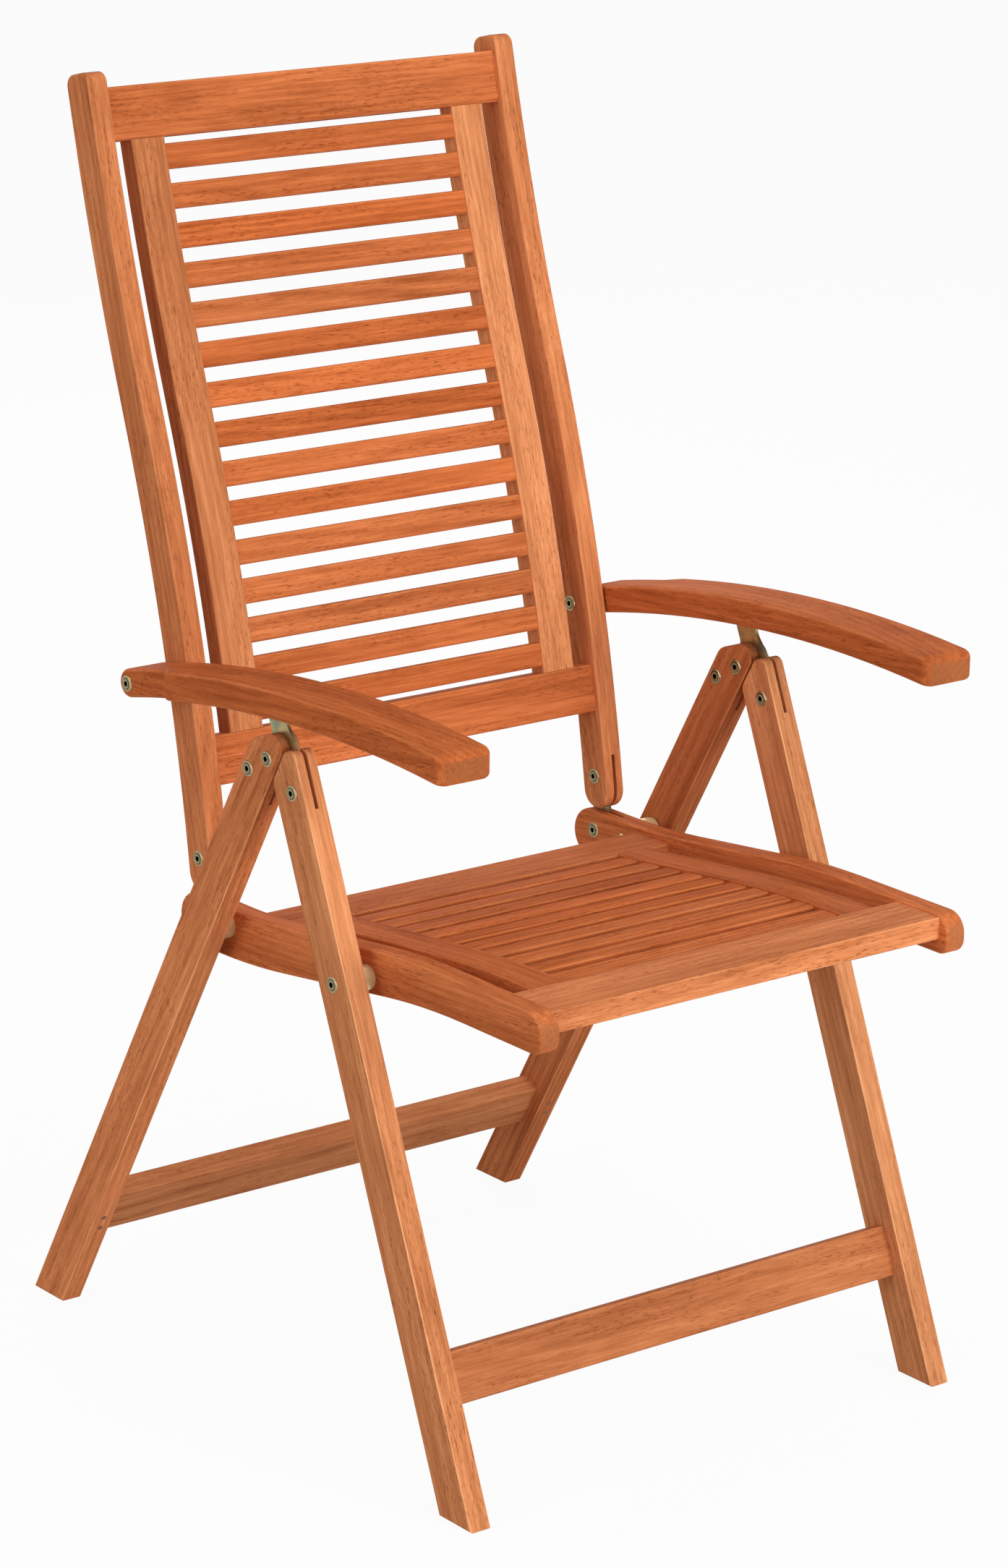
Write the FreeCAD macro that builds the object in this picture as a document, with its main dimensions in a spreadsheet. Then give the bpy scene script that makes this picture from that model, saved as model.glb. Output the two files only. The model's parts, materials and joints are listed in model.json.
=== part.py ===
import FreeCAD, Part
import math
import os
import Sketcher

# Folding garden armchair in oiled hardwood with a five position back.
# Millimetres, +Z up, +X to the right seen from the front, the front of the chair faces -Y.
# The origin lies on the floor under the middle of the chair.

V = FreeCAD.Vector
X_AXIS = V(1, 0, 0)

DIMENSIONS = [
    # legs
    ("leg_outer_x", 265, "half the width over the legs"),
    ("leg_thick", 21, "thickness of a leg across the chair"),
    ("leg_width", 40, "width of a leg in the side view"),
    ("front_foot_y", -288.5, "middle of the front foot on the floor"),
    ("front_leg_angle", 22.7, "lean of the front leg, degrees from upright"),
    ("rear_foot_y", 320, "middle of the rear foot on the floor"),
    ("edge_round", 2, "rounding of the timber edges"),
    ("stretcher_width", 45, "width of the two leg stretchers"),
    ("stretcher_thick", 21, "thickness of the two leg stretchers"),
    ("front_stretcher_up", 116, "middle of the front stretcher, along the leg"),
    ("front_stretcher_back", 4.5, "front stretcher behind the middle of the leg"),
    ("rear_stretcher_up", 109, "middle of the rear stretcher, along the leg"),
    ("rear_stretcher_back", 2.5, "rear stretcher behind the middle of the leg"),
    # apex of the leg frames
    ("pivot_z", 567.5, "height of the leg pivot bolt"),
    ("pivot_forward", 4, "leg pivot in front of the middle of the front leg"),
    ("head_gap", 3.9, "space between the heads of front and rear leg"),
    ("front_head", 34.5, "front leg above the pivot, along the leg"),
    ("rear_head", 25, "rear leg above the pivot, along the leg"),
    ("head_rub", 1.5, "slanted back of the front leg's head clear of the rear leg"),
    ("shoulder_round", 10, "rounding where that slant starts"),
    ("crown_round", 8, "rounding where that slant meets the top"),
    ("head_round", 8, "rounding of the front leg's top in front"),
    ("slant_drop", 25, "start of the rear leg's slanted head below its top"),
    ("slant_round", 16, "rounding where that slant starts"),
    ("tip_flat", 18.5, "width of the rear leg's flat top"),
    ("top_round", 8, "rounding where the slant meets the flat top"),
    ("tip_round", 11, "rounding of the rear leg's top in front"),
    ("plate_thick", 3, "steel plates, links and racks"),
    ("slot_clear", 0.6, "saw slot wider than a plate that turns in it"),
    ("seat_clear", 0.1, "saw slot wider than a plate that is fixed in it"),
    ("slot_depth", 27, "slot of the front leg below the pivot, at its back face"),
    ("slot_front", 17, "slot of the front leg below the pivot, at its front face"),
    ("rear_slot_depth", 42, "slot of the rear leg below the pivot"),
    ("plate_eye", 10, "half width of the plate round the leg pivot"),
    ("plate_lobe", 9, "half width of the plate round its fixing bolts"),
    ("low_bolt_in", 29.5, "lower fixing bolt behind the front face of the rear leg"),
    ("low_bolt_drop", 25, "lower fixing bolt below the pivot, along the rear leg"),
    ("high_bolt_in", 13.5, "upper fixing bolt behind the front face of the rear leg"),
    ("high_bolt_rise", 0.7, "upper fixing bolt above the pivot, along the rear leg"),
    ("tongue_rise", 70, "top of the catch tongue above the pivot"),
    ("tongue_bend", 56, "bend of the tongue's edges above the pivot"),
    ("neck_rise", 37.5, "back of the tongue above the pivot where it enters the rear leg"),
    ("neck_back", 38, "back of the tongue behind the pivot at that height"),
    ("lip_rise", 33, "front of the plate above the pivot where it leaves the front leg"),
    ("lip_back", 3, "front of the plate behind the pivot at that height"),
    ("tongue_back", 34.5, "middle of the tongue behind the pivot"),
    ("tongue_wide", 25, "width of the tongue"),
    # seat
    ("side_gap", 15, "space between legs and seat side rails"),
    ("rail_thick", 20.5, "thickness of the seat side rails and back stiles"),
    ("seat_pivot_z", 418, "height of the front seat pivot"),
    ("slide_drop", 8, "rear slide pin below the seat pivot"),
    ("seat_rear_up", 6, "top of the side rail at its rear end above the seat pivot"),
    ("seat_front_up", 30, "top of the side rail at its front above the seat pivot"),
    ("seat_front_y", -343, "front end of the side rails"),
    ("nose_height", 35, "height of the side rail at its front"),
    ("nose_round", 18, "rounding of the side rail's front end"),
    ("chin_round", 12, "rounding under the side rail's front end"),
    ("rail_round", 3, "rounding of the edges of side rails and back stiles"),
    ("knuckle_y", 136.5, "centre of the rounded rear end of the side rail"),
    ("knuckle_height", 45, "height of the rounded rear end of the side rail"),
    ("bend_radius", 774, "bends of the side rail"),
    ("top_bend_rear_y", 45.5, "rear bend of the rail's top"),
    ("top_bend_front_y", -166.5, "front bend of the rail's top"),
    ("low_bend_rear_y", 62, "rear bend of the rail's underside"),
    ("low_bend_front_y", -188, "front bend of the rail's underside"),
    ("front_rail_depth", 55, "front rail of the seat, front to back"),
    ("front_rail_set", 11, "front rail behind the front end of the side rails"),
    ("front_rail_drop", 2.5, "front rail below the top of the side rails"),
    ("rear_rail_depth", 46, "rear rail of the seat, front to back"),
    ("rear_rail_y", 69, "back face of the rear rail"),
    ("rear_rail_drop", 4, "rear rail below the top of the side rails"),
    ("board_thick", 20, "thickness of seat and back frame boards"),
    ("seat_inner_gap", 23, "space between side rails and inner rails of the seat"),
    ("seat_inner_width", 36, "width of the inner seat rails"),
    ("dish_rear_drop", 3, "seat surface below the side rail at the rear"),
    ("dish_front_drop", 4, "seat surface below the side rail at the front"),
    ("dish_back", 77, "place where the seat levels out, behind the front rail"),
    ("dish_radius", 1200, "bend of the seat surface"),
    ("seat_slat_width", 21, "seat slat, front to back"),
    ("slat_thick", 11, "thickness of seat and back slats"),
    ("slat_drop", 2, "slats below the face of the rails that carry them"),
    ("slat_round", 2.5, "rounding of the slat edges"),
    # back
    ("stile_width", 34.5, "width of the back stiles in the side view"),
    ("stile_foot_drop", 10, "start of the stile's lower bend below the upper link bolt"),
    ("stile_foot_y", 111.8, "front of the stile at that place"),
    ("stile_waist_z", 840, "height where the lower bend meets the upper one"),
    ("stile_high_z", 1098.5, "end of the stile's upper bend"),
    ("stile_lean_foot", 8.83, "lean of the stile at its foot, degrees"),
    ("stile_lean_waist", 20.33, "lean of the stile at its waist, degrees"),
    ("stile_lean_top", 13.7, "lean of the stile at its top, degrees"),
    ("stile_cap", 14, "straight end of the stile above the upper bend"),
    ("cap_round", 10, "rounding of the stile's top"),
    ("panel_setback", 6, "back panel behind the front of the stiles"),
    ("top_rail_height", 46, "height of the top rail of the back"),
    ("top_rail_drop", 22.5, "middle of the top rail below the end of the upper bend"),
    ("bottom_rail_height", 43, "height of the bottom rail of the back"),
    ("bottom_rail_up", 94, "middle of the bottom rail above the start of the lower bend"),
    ("back_inner_gap", 19.5, "space between the stiles and inner stiles of the back"),
    ("back_inner_width", 34, "width of the inner back stiles"),
    ("back_slat_height", 22, "height of the back slats"),
    # hinge links between seat and back
    ("link_set", 6.5, "lower link bolt in front of the knuckle's centre"),
    ("link_drop", 12, "lower link bolt below the seat pivot"),
    ("link_length", 51, "upper link bolt above the lower one"),
    ("link_width", 22, "width of the hinge links"),
    ("link_slot", 30, "slot of the side rail in front of the lower link bolt"),
    ("stile_slot", 22, "slot of the stile above the upper link bolt"),
    # arms
    ("arm_gap", 2, "space between back stiles and arms"),
    ("arm_width", 54, "width of the arms"),
    ("arm_thick", 25, "thickness of the arms"),
    ("arm_pivot_up", 43.5, "arm bolt above the leg pivot"),
    ("arm_pivot_back", 26, "arm bolt behind the front face of the back stile"),
    ("arm_slope", 13.24, "rise of the arm at its bolt, degrees"),
    ("arm_radius", 1399.5, "bend of the arm along its middle"),
    ("arm_front_y", -281, "front end of the arms"),
    ("arm_step", 10, "outer face of the arm cut back at its rear end"),
    ("arm_step_front", 57, "place of that step in front of the arm bolt"),
    ("step_run", 14, "length of that step"),
    ("step_round", 10, "rounding of that step"),
    ("arm_nose", 10, "rounding of the arm's front corners"),
    ("arm_bullnose", 12, "rolled front end of the arm's top"),
    ("arm_roll", 16, "radius of that roll"),
    ("arm_round", 4.5, "rounding of the arm edges"),
    ("rack_front", 124, "notch rack in front of the leg pivot"),
    ("rack_rear", 61, "notch rack behind the leg pivot"),
    ("rack_high", 7, "height of the notch rack"),
    ("rack_clear", 1.2, "notch rack above the tongue"),
    ("rack_end", 1, "groove longer than the rack at each end"),
    ("rack_side", 3, "groove wider than the rack"),
    # fasteners
    ("bolt_dia", 6, "connector bolts"),
    ("bolt_fit", 0.1, "clearance of a bolt hole on the diameter"),
    ("head_dia", 14, "bolt heads"),
    ("head_high", 1.6, "bolt heads"),
    ("head_bevel", 1, "bevel of the bolt heads"),
    ("socket_dia", 4.6, "hexagon sockets over their corners"),
    ("socket_deep", 1.2, "hexagon sockets"),
    ("spacer_dia", 22, "brass spacers at the seat pivots"),
    ("washer_dia", 18, "washers between back stiles and arms"),
    ("slide_dia", 9, "end of the slide pin that runs in the rear leg"),
    ("slide_clear", 2, "groove wider than the slide pin"),
    ("groove_deep", 9, "groove for the slide pin"),
    ("pin_end_gap", 1, "slide pin short of the groove's floor"),
    ("collar_dia", 25, "brass collars of the slide pins"),
    ("collar_gap", 1.2, "collar of the slide pin short of the rear leg"),
    ("pin_tail", 0.8, "slide pin proud of the side rail inside"),
    ("pin_bevel", 0.8, "bevel of the slide pin"),
    ("run_gap", 0.3, "side clearance of a ring that turns"),
    ("fold_angle", 50, "closing angle of the legs, degrees"),
    ("seat_ratio", 1.88, "turn of the seat for each degree of fold"),
]

SEAT_SLATS = 10
BACK_SLATS = 15
NOTCHES = 5

doc = FreeCAD.newDocument("folding_garden_chair")
sheet = doc.addObject("Spreadsheet::Sheet", "Dims")
for row, (alias, number, note) in enumerate(DIMENSIONS, 1):
    sheet.set("A%d" % row, note)
    sheet.set("B%d" % row, str(number))
    sheet.setAlias("B%d" % row, alias)
doc.recompute()

made = []


def dim(alias):
    return float(sheet.get(alias))


# positions across the chair, from the legs inwards
LEG_OUT = dim("leg_outer_x")
LEG_IN = LEG_OUT - dim("leg_thick")
LEG_MID = (LEG_OUT + LEG_IN) / 2
RAIL_OUT = LEG_IN - dim("side_gap")
RAIL_IN = RAIL_OUT - dim("rail_thick")
RAIL_MID = (RAIL_OUT + RAIL_IN) / 2
ARM_IN = RAIL_OUT + dim("arm_gap")
ARM_OUT = ARM_IN + dim("arm_width")

# sketch helpers

def new_body(label):
    body = doc.addObject("PartDesign::Body", label)
    body.Label = label
    if hasattr(body, "AllowCompound"):
        body.AllowCompound = True
    made.append(body)
    return body


def sketch_on(body, role, name, offset=0.0):
    sketch = body.newObject("Sketcher::SketchObject", body.Label + "_" + name)
    planes = [item for item in body.Origin.OriginFeatures if item.Role == role]
    sketch.AttachmentSupport = [(planes[0], "")]
    sketch.MapMode = "FlatFace"
    if offset:
        sketch.AttachmentOffset = FreeCAD.Placement(V(0, 0, offset), FreeCAD.Rotation())
    return sketch


def flat(point):
    return V(point[0], point[1], 0)


def rounded(corners):
    """Lines and arcs of a closed outline; each corner is (a, b, radius)."""
    pieces = []
    ends = []
    count = len(corners)
    for index in range(count):
        here = flat(corners[index])
        before = (flat(corners[index - 1]) - here).normalize()
        after = (flat(corners[(index + 1) % count]) - here).normalize()
        radius = corners[index][2]
        if radius <= 0:
            ends.append((here, None, here))
            continue
        half = before.getAngle(after) / 2
        reach = radius / math.tan(half)
        bisector = (before + after).normalize()
        nearest = here + bisector * (radius / math.sin(half) - radius)
        ends.append((here + before * reach, nearest, here + after * reach))
    for index in range(count):
        start, nearest, stop = ends[index]
        if nearest is not None:
            pieces.append(Part.Arc(start, nearest, stop))
        follow = ends[(index + 1) % count][0]
        if (follow - stop).Length > 1e-6:
            pieces.append(Part.LineSegment(stop, follow))
    return pieces


def line(start, stop):
    return Part.LineSegment(flat(start), flat(stop))


def arc(start, middle, stop):
    return Part.Arc(flat(start), flat(middle), flat(stop))


def draw(sketch, pieces):
    """Add a closed chain of curves and tie each end to the next start."""
    first = sketch.GeometryCount
    for piece in pieces:
        sketch.addGeometry(piece, False)
    ends = []
    for number in range(first, first + len(pieces)):
        ends.append((sketch.getPoint(number, 1), sketch.getPoint(number, 2)))
    for k in range(len(pieces)):
        m = (k + 1) % len(pieces)
        best = None
        for i in (0, 1):
            for j in (0, 1):
                gap = (ends[k][i] - ends[m][j]).Length
                if best is None or gap < best[0]:
                    best = (gap, i + 1, j + 1)
        sketch.addConstraint(Sketcher.Constraint("Coincident", first + k, best[1],
                                                 first + m, best[2]))


def pad(body, sketch, length, midplane=True):
    feature = body.newObject("PartDesign::Pad", body.Label + "_pad")
    feature.Profile = sketch
    feature.Midplane = midplane
    feature.setExpression("Length", length)
    doc.recompute()
    return feature


def pocket(body, sketch, length, midplane=False, reverse=False):
    """Cut, and stop the build if nothing was removed."""
    before = body.Shape.Volume
    feature = body.newObject("PartDesign::Pocket", sketch.Label + "_cut")
    feature.Profile = sketch
    feature.Midplane = midplane
    feature.Reversed = reverse
    feature.setExpression("Length", length)
    doc.recompute()
    if body.Shape.Volume > before - 1:
        raise RuntimeError("the cut " + sketch.Label + " removes nothing")
    return feature


def fillet(body, base, edges, radius):
    feature = body.newObject("PartDesign::Fillet", body.Label + "_round")
    feature.Base = (base, edges)
    feature.setExpression("Radius", radius)
    doc.recompute()
    return feature


def edge_names(shape, test):
    names = []
    for number, edge in enumerate(shape.Edges, 1):
        if test(edge):
            names.append("Edge%d" % number)
    return names


def is_along_x(edge):
    box = edge.BoundBox
    return box.XLength > 1e-3 and box.YLength < 1e-6 and box.ZLength < 1e-6


def is_across_x(edge):
    return edge.BoundBox.XLength < 1e-6


def hole(body, name, y, z, diameter):
    """Round hole right through along X, its diameter bound to the sheet."""
    sketch = sketch_on(body, "YZ_Plane", name)
    circle = sketch.addGeometry(Part.Circle(V(y, z, 0), V(0, 0, 1), 3), False)
    sketch.addConstraint(Sketcher.Constraint("Diameter", circle, 6))
    sketch.renameConstraint(sketch.ConstraintCount - 1, "bore")
    sketch.setExpression("Constraints.bore", diameter)
    doc.recompute()
    pocket(body, sketch, "200", midplane=True)


def set_place(body, x, y=0.0, z=0.0, lean=0.0):
    body.Placement = FreeCAD.Placement(V(x, y, z), FreeCAD.Rotation(X_AXIS, lean))


BOLT_HOLE = "Dims.bolt_dia + Dims.bolt_fit"
RUNNING_SLOT = "Dims.plate_thick + Dims.slot_clear"
FIXED_SLOT = "Dims.plate_thick + Dims.seat_clear"
BETWEEN_LEGS = "2*(Dims.leg_outer_x - Dims.leg_thick)"
BETWEEN_RAILS = "2*(Dims.leg_outer_x - Dims.leg_thick - Dims.side_gap - Dims.rail_thick)"


def board(label, length, width, thick, radius):
    """Straight timber along X with its four long edges rounded."""
    body = new_body(label)
    sketch = sketch_on(body, "YZ_Plane", "section")
    a, b = 5.0, 5.0
    draw(sketch, rounded([(-a, -b, 0), (a, -b, 0), (a, b, 0), (-a, b, 0)]))
    for index in (0, 2):
        sketch.addConstraint(Sketcher.Constraint("Horizontal", index))
        sketch.addConstraint(Sketcher.Constraint("Vertical", index + 1))
    sketch.addConstraint(Sketcher.Constraint("Symmetric", 0, 1, 2, 1, -1, 1))
    sketch.addConstraint(Sketcher.Constraint("DistanceX", 0, 1, 0, 2, 2 * a))
    sketch.renameConstraint(sketch.ConstraintCount - 1, "across")
    sketch.addConstraint(Sketcher.Constraint("DistanceY", 1, 1, 1, 2, 2 * b))
    sketch.renameConstraint(sketch.ConstraintCount - 1, "through")
    sketch.setExpression("Constraints.across", width)
    sketch.setExpression("Constraints.through", thick)
    doc.recompute()
    base = pad(body, sketch, length)
    fillet(body, base, edge_names(base.Shape, is_along_x), radius)
    return body


# positions that several pieces share, in the side view

def lean_of(kind):
    """Lean of a leg from upright, in radians."""
    if kind == "front":
        return math.radians(dim("front_leg_angle"))
    dy = dim("rear_foot_y") - APEX[0]
    reach = math.hypot(dy, APEX[1])
    return math.atan2(dy, APEX[1]) - math.asin(REAR_OFFSET / reach)


def leg_point(kind, along, back=0.0):
    """Side view point of a leg: distance up along its axis and backwards across it."""
    lean = lean_of(kind)
    foot = dim(kind + "_foot_y")
    if kind == "front":
        return (foot + along * math.sin(lean) + back * math.cos(lean),
                along * math.cos(lean) - back * math.sin(lean))
    return (foot - along * math.sin(lean) + back * math.cos(lean),
            along * math.cos(lean) + back * math.sin(lean))


def in_leg(kind, point):
    """The same point in the leg's own frame: across it and up along it."""
    lean = lean_of(kind)
    dy = point[0] - dim(kind + "_foot_y")
    if kind == "front":
        return (dy * math.cos(lean) - point[1] * math.sin(lean),
                dy * math.sin(lean) + point[1] * math.cos(lean))
    return (dy * math.cos(lean) + point[1] * math.sin(lean),
            -dy * math.sin(lean) + point[1] * math.cos(lean))


def turned(point, centre, degrees):
    """Side view turn that lifts what is in front of the centre."""
    a = math.radians(degrees)
    dy = point[0] - centre[0]
    dz = point[1] - centre[1]
    return (centre[0] + dy * math.cos(a) + dz * math.sin(a),
            centre[1] - dy * math.sin(a) + dz * math.cos(a))


HALF_LEG = dim("leg_width") / 2
FRONT_LEAN = lean_of("front")
APEX = (dim("front_foot_y") + dim("pivot_z") * math.tan(FRONT_LEAN)
        - dim("pivot_forward") / math.cos(FRONT_LEAN), dim("pivot_z"))
# the rear leg stands behind the pivot by both half widths and the gap of the heads
REAR_OFFSET = 2 * HALF_LEG + dim("pivot_forward") + dim("head_gap")
REAR_LEAN = lean_of("rear")
FRONT_PIVOT_UP = in_leg("front", APEX)[1]
REAR_PIVOT_UP = in_leg("rear", APEX)[1]
FRONT_TOP = FRONT_PIVOT_UP + dim("front_head")
REAR_TOP = REAR_PIVOT_UP + dim("rear_head")
SEAT_PIVOT = leg_point("front", dim("seat_pivot_z") / math.cos(FRONT_LEAN))
SLIDE_PIN = leg_point("rear", (dim("seat_pivot_z") - dim("slide_drop")) / math.cos(REAR_LEAN))

# two bolts hold the apex plate in the slotted head of the rear leg
PLATE_BOLTS = [
    leg_point("rear", REAR_PIVOT_UP - dim("low_bolt_drop"), dim("low_bolt_in") - HALF_LEG),
    leg_point("rear", REAR_PIVOT_UP + dim("high_bolt_rise"), dim("high_bolt_in") - HALF_LEG)]
TONGUE_TOP = APEX[1] + dim("tongue_rise")

SEAT_REAR_Z = dim("seat_pivot_z") + dim("seat_rear_up")
SEAT_FRONT_Z = dim("seat_pivot_z") + dim("seat_front_up")
LINK_LOW = (dim("knuckle_y") - dim("link_set"), dim("seat_pivot_z") - dim("link_drop"))
LINK_HIGH_Z = LINK_LOW[1] + dim("link_length")
STILE_LOW_Z = LINK_HIGH_Z - dim("stile_foot_drop")


def bend(z, low, high, start, lean_low, lean_high):
    """Point and lean at a height on an arc that turns from one lean to another."""
    a = math.radians(lean_low)
    b = math.radians(lean_high)
    radius = (high - low) / (math.sin(b) - math.sin(a))
    sine = math.sin(a) + (z - low) / radius
    return start + radius * (math.cos(a) - math.sqrt(1 - sine * sine)), math.asin(sine)


def stile_line(z, depth=0.0):
    """Point of the back a depth behind the stile's front at a height, and the lean there."""
    waist = dim("stile_waist_z")
    lower = (STILE_LOW_Z, waist, dim("stile_foot_y"), dim("stile_lean_foot"), dim("stile_lean_waist"))
    if z <= waist:
        y, lean = bend(z, *lower)
    else:
        y, lean = bend(z, waist, dim("stile_high_z"), bend(waist, *lower)[0],
                       dim("stile_lean_waist"), dim("stile_lean_top"))
    return V(y + depth * math.cos(lean), z - depth * math.sin(lean), 0), lean


def stile_arcs(depth, low, high):
    """The lower and upper bend of the back at a depth, between two heights of the front."""
    waist = dim("stile_waist_z")
    arcs = []
    for start, stop in ((low, waist), (waist, high)):
        middle = (start + stop) / 2
        arcs.append(Part.Arc(*[stile_line(z, depth)[0] for z in (start, middle, stop)]))
    return arcs


def in_stile(z, depth):
    """Side view point at a height, a depth behind the front of the stile."""
    front, lean = stile_line(z)
    return (front.x + depth / math.cos(lean), z)


LINK_HIGH = in_stile(LINK_HIGH_Z, dim("stile_width") / 2)
ARM_PIVOT = in_stile(APEX[1] + dim("arm_pivot_up"), dim("arm_pivot_back"))


def panel_place(height, depth):
    """Middle of a board of the back panel, a depth behind the panel's front, and its lean."""
    spot, lean = stile_line(height, dim("panel_setback") + depth)
    return spot.x, spot.y, -math.degrees(lean)


# legs

def front_leg(side, label):
    half = HALF_LEG
    top = FRONT_TOP
    rise = half * math.tan(FRONT_LEAN)
    body = new_body(label)
    outline = sketch_on(body, "YZ_Plane", "outline")
    # the back of the head is cut parallel to the rear leg
    across, up = in_leg("front", APEX)
    angle = FRONT_LEAN + REAR_LEAN
    reach = REAR_OFFSET - half - dim("head_rub")
    shoulder = up + (reach - (half - across) * math.cos(angle)) / math.sin(angle)
    crown = across + (reach - (top - up) * math.sin(angle)) / math.cos(angle)
    draw(outline, rounded([
        (-half, -rise, 0), (half, rise, 0), (half, shoulder, dim("shoulder_round")),
        (crown, top, dim("crown_round")), (-half, top, dim("head_round"))]))
    foot = outline.addConstraint(Sketcher.Constraint("DistanceX", 0, 1, 0, 2, 2 * half))
    outline.renameConstraint(foot, "width")
    outline.setExpression("Constraints.width", "Dims.leg_width")
    base = pad(body, outline, "Dims.leg_thick")
    fillet(body, base, edge_names(base.Shape, is_across_x), "Dims.edge_round")
    pivot = in_leg("front", APEX)
    seat = in_leg("front", SEAT_PIVOT)
    hole(body, "pivot_hole", pivot[0], pivot[1], BOLT_HOLE)
    hole(body, "seat_hole", seat[0], seat[1], BOLT_HOLE)
    saw_slot(body, FRONT_PIVOT_UP - dim("slot_front"), FRONT_PIVOT_UP - dim("slot_depth"), top, RUNNING_SLOT)
    set_place(body, side * LEG_MID, dim("front_foot_y"), 0, -math.degrees(FRONT_LEAN))


def saw_slot(body, front, back, top, width):
    """Saw cut into the end of a leg, open at the top, with its floor's height at the two faces."""
    far = 2 * HALF_LEG
    slope = (back - front) / 2
    slot = sketch_on(body, "YZ_Plane", "slot")
    draw(slot, rounded([(-far, front - slope, 0), (far, back + slope, 0),
                        (far, top + far, 0), (-far, top + far, 0)]))
    pocket(body, slot, width, midplane=True)


def plate_corners():
    """Apex plate: eye on the leg pivot, lobe round the lower fixing bolt, tongue under the arm."""
    y, z = APEX
    eye = dim("plate_eye")
    by, bz = PLATE_BOLTS[0]
    lobe = dim("plate_lobe")
    middle = y + dim("tongue_back")
    half = dim("tongue_wide") / 2
    bend_z = z + dim("tongue_bend")
    return [(middle + half, TONGUE_TOP, 4), (middle + half, bend_z, 2 * half),
            (y + dim("neck_back"), z + dim("neck_rise"), eye),
            (by + 0.2 * lobe, bz + 1.5 * lobe, 0.9 * lobe), (by + lobe, bz - 0.15 * lobe, lobe),
            (by - 0.4 * lobe, bz - 1.15 * lobe, lobe), (y + 0.75 * eye, z - 1.08 * eye, 0.9 * eye),
            (y - eye, z - 0.92 * eye, 0.9 * eye), (y - 0.92 * eye, z + eye, 0.9 * eye),
            (y + dim("lip_back"), z + dim("lip_rise"), 2 * eye), (middle - 1.1 * half, bend_z - 0.3 * eye, 1.4 * eye),
            (middle - half, TONGUE_TOP, 4)]


def groove_path():
    """Three points of the slide pin's way down the rear leg as the chair folds."""
    points = []
    for share in (0, 0.5, 1):
        fold = dim("fold_angle") * share
        pin = turned(SLIDE_PIN, SEAT_PIVOT, fold * dim("seat_ratio"))
        points.append(in_leg("rear", turned(pin, APEX, -fold)))
    return points


def groove_outline(path, half):
    """Closed slot of constant width round an arc through three points."""
    centre_line = Part.Circle(*[flat(p) for p in path])
    middle = centre_line.Center
    radius = centre_line.Radius

    def offset(point, distance):
        ray = (flat(point) - middle).normalize()
        spot = middle + ray * (radius + distance)
        return (spot.x, spot.y)

    outer = [offset(p, half) for p in path]
    inner = [offset(p, -half) for p in path]
    start_tangent = offset_direction(path[0], middle, path[1])
    end_tangent = offset_direction(path[2], middle, path[1])
    start_tip = (path[0][0] + start_tangent.x * half, path[0][1] + start_tangent.y * half)
    end_tip = (path[2][0] + end_tangent.x * half, path[2][1] + end_tangent.y * half)
    return [arc(*outer), arc(outer[2], end_tip, inner[2]),
            arc(inner[2], inner[1], inner[0]), arc(inner[0], start_tip, outer[0])]


def offset_direction(point, middle, away_from):
    """Unit tangent of a circle at a point, leading away from another point on it."""
    ray = (flat(point) - middle).normalize()
    tangent = V(-ray.y, ray.x, 0)
    if tangent.dot(flat(point) - flat(away_from)) < 0:
        tangent = tangent * -1
    return tangent


def rear_leg(side, label):
    half = HALF_LEG
    top = REAR_TOP
    rise = half * math.tan(REAR_LEAN)
    body = new_body(label)
    outline = sketch_on(body, "YZ_Plane", "outline")
    draw(outline, rounded([
        (-half, rise, 0), (half, -rise, 0), (half, top - dim("slant_drop"), dim("slant_round")),
        (dim("tip_flat") - half, top, dim("top_round")), (-half, top, dim("tip_round"))]))
    foot = outline.addConstraint(Sketcher.Constraint("DistanceX", 0, 1, 0, 2, 2 * half))
    outline.renameConstraint(foot, "width")
    outline.setExpression("Constraints.width", "Dims.leg_width")
    base = pad(body, outline, "Dims.leg_thick")
    fillet(body, base, edge_names(base.Shape, is_across_x), "Dims.edge_round")
    for number, spot in enumerate(PLATE_BOLTS):
        local = in_leg("rear", spot)
        hole(body, "bolt_hole_%d" % number, local[0], local[1], BOLT_HOLE)
    floor = REAR_PIVOT_UP - dim("rear_slot_depth")
    saw_slot(body, floor, floor, top, FIXED_SLOT)
    groove = sketch_on(body, "YZ_Plane", "groove", -side * dim("leg_thick") / 2)
    draw(groove, groove_outline(groove_path(), (dim("slide_dia") + dim("slide_clear")) / 2))
    pocket(body, groove, "Dims.groove_deep", reverse=side > 0)
    set_place(body, side * LEG_MID, dim("rear_foot_y"), 0, math.degrees(REAR_LEAN))


for side, hand in ((-1, "left"), (1, "right")):
    front_leg(side, "front_leg_" + hand)
    rear_leg(side, "rear_leg_" + hand)

for kind, lean in (("front", -FRONT_LEAN), ("rear", REAR_LEAN)):
    bar = board(kind + "_stretcher", BETWEEN_LEGS, "Dims.stretcher_thick",
                "Dims.stretcher_width", "Dims.edge_round")
    y, z = leg_point(kind, dim(kind + "_stretcher_up"), dim(kind + "_stretcher_back"))
    set_place(bar, 0, y, z, math.degrees(lean))


def mirror_body(body, features):
    """Repeat the features of a body on the other side of the chair."""
    planes = [item for item in body.Origin.OriginFeatures if item.Role == "YZ_Plane"]
    twin = body.newObject("PartDesign::Mirrored", body.Label + "_twin")
    twin.Originals = features
    twin.MirrorPlane = (planes[0], [""])
    body.Tip = twin
    doc.recompute()


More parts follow.
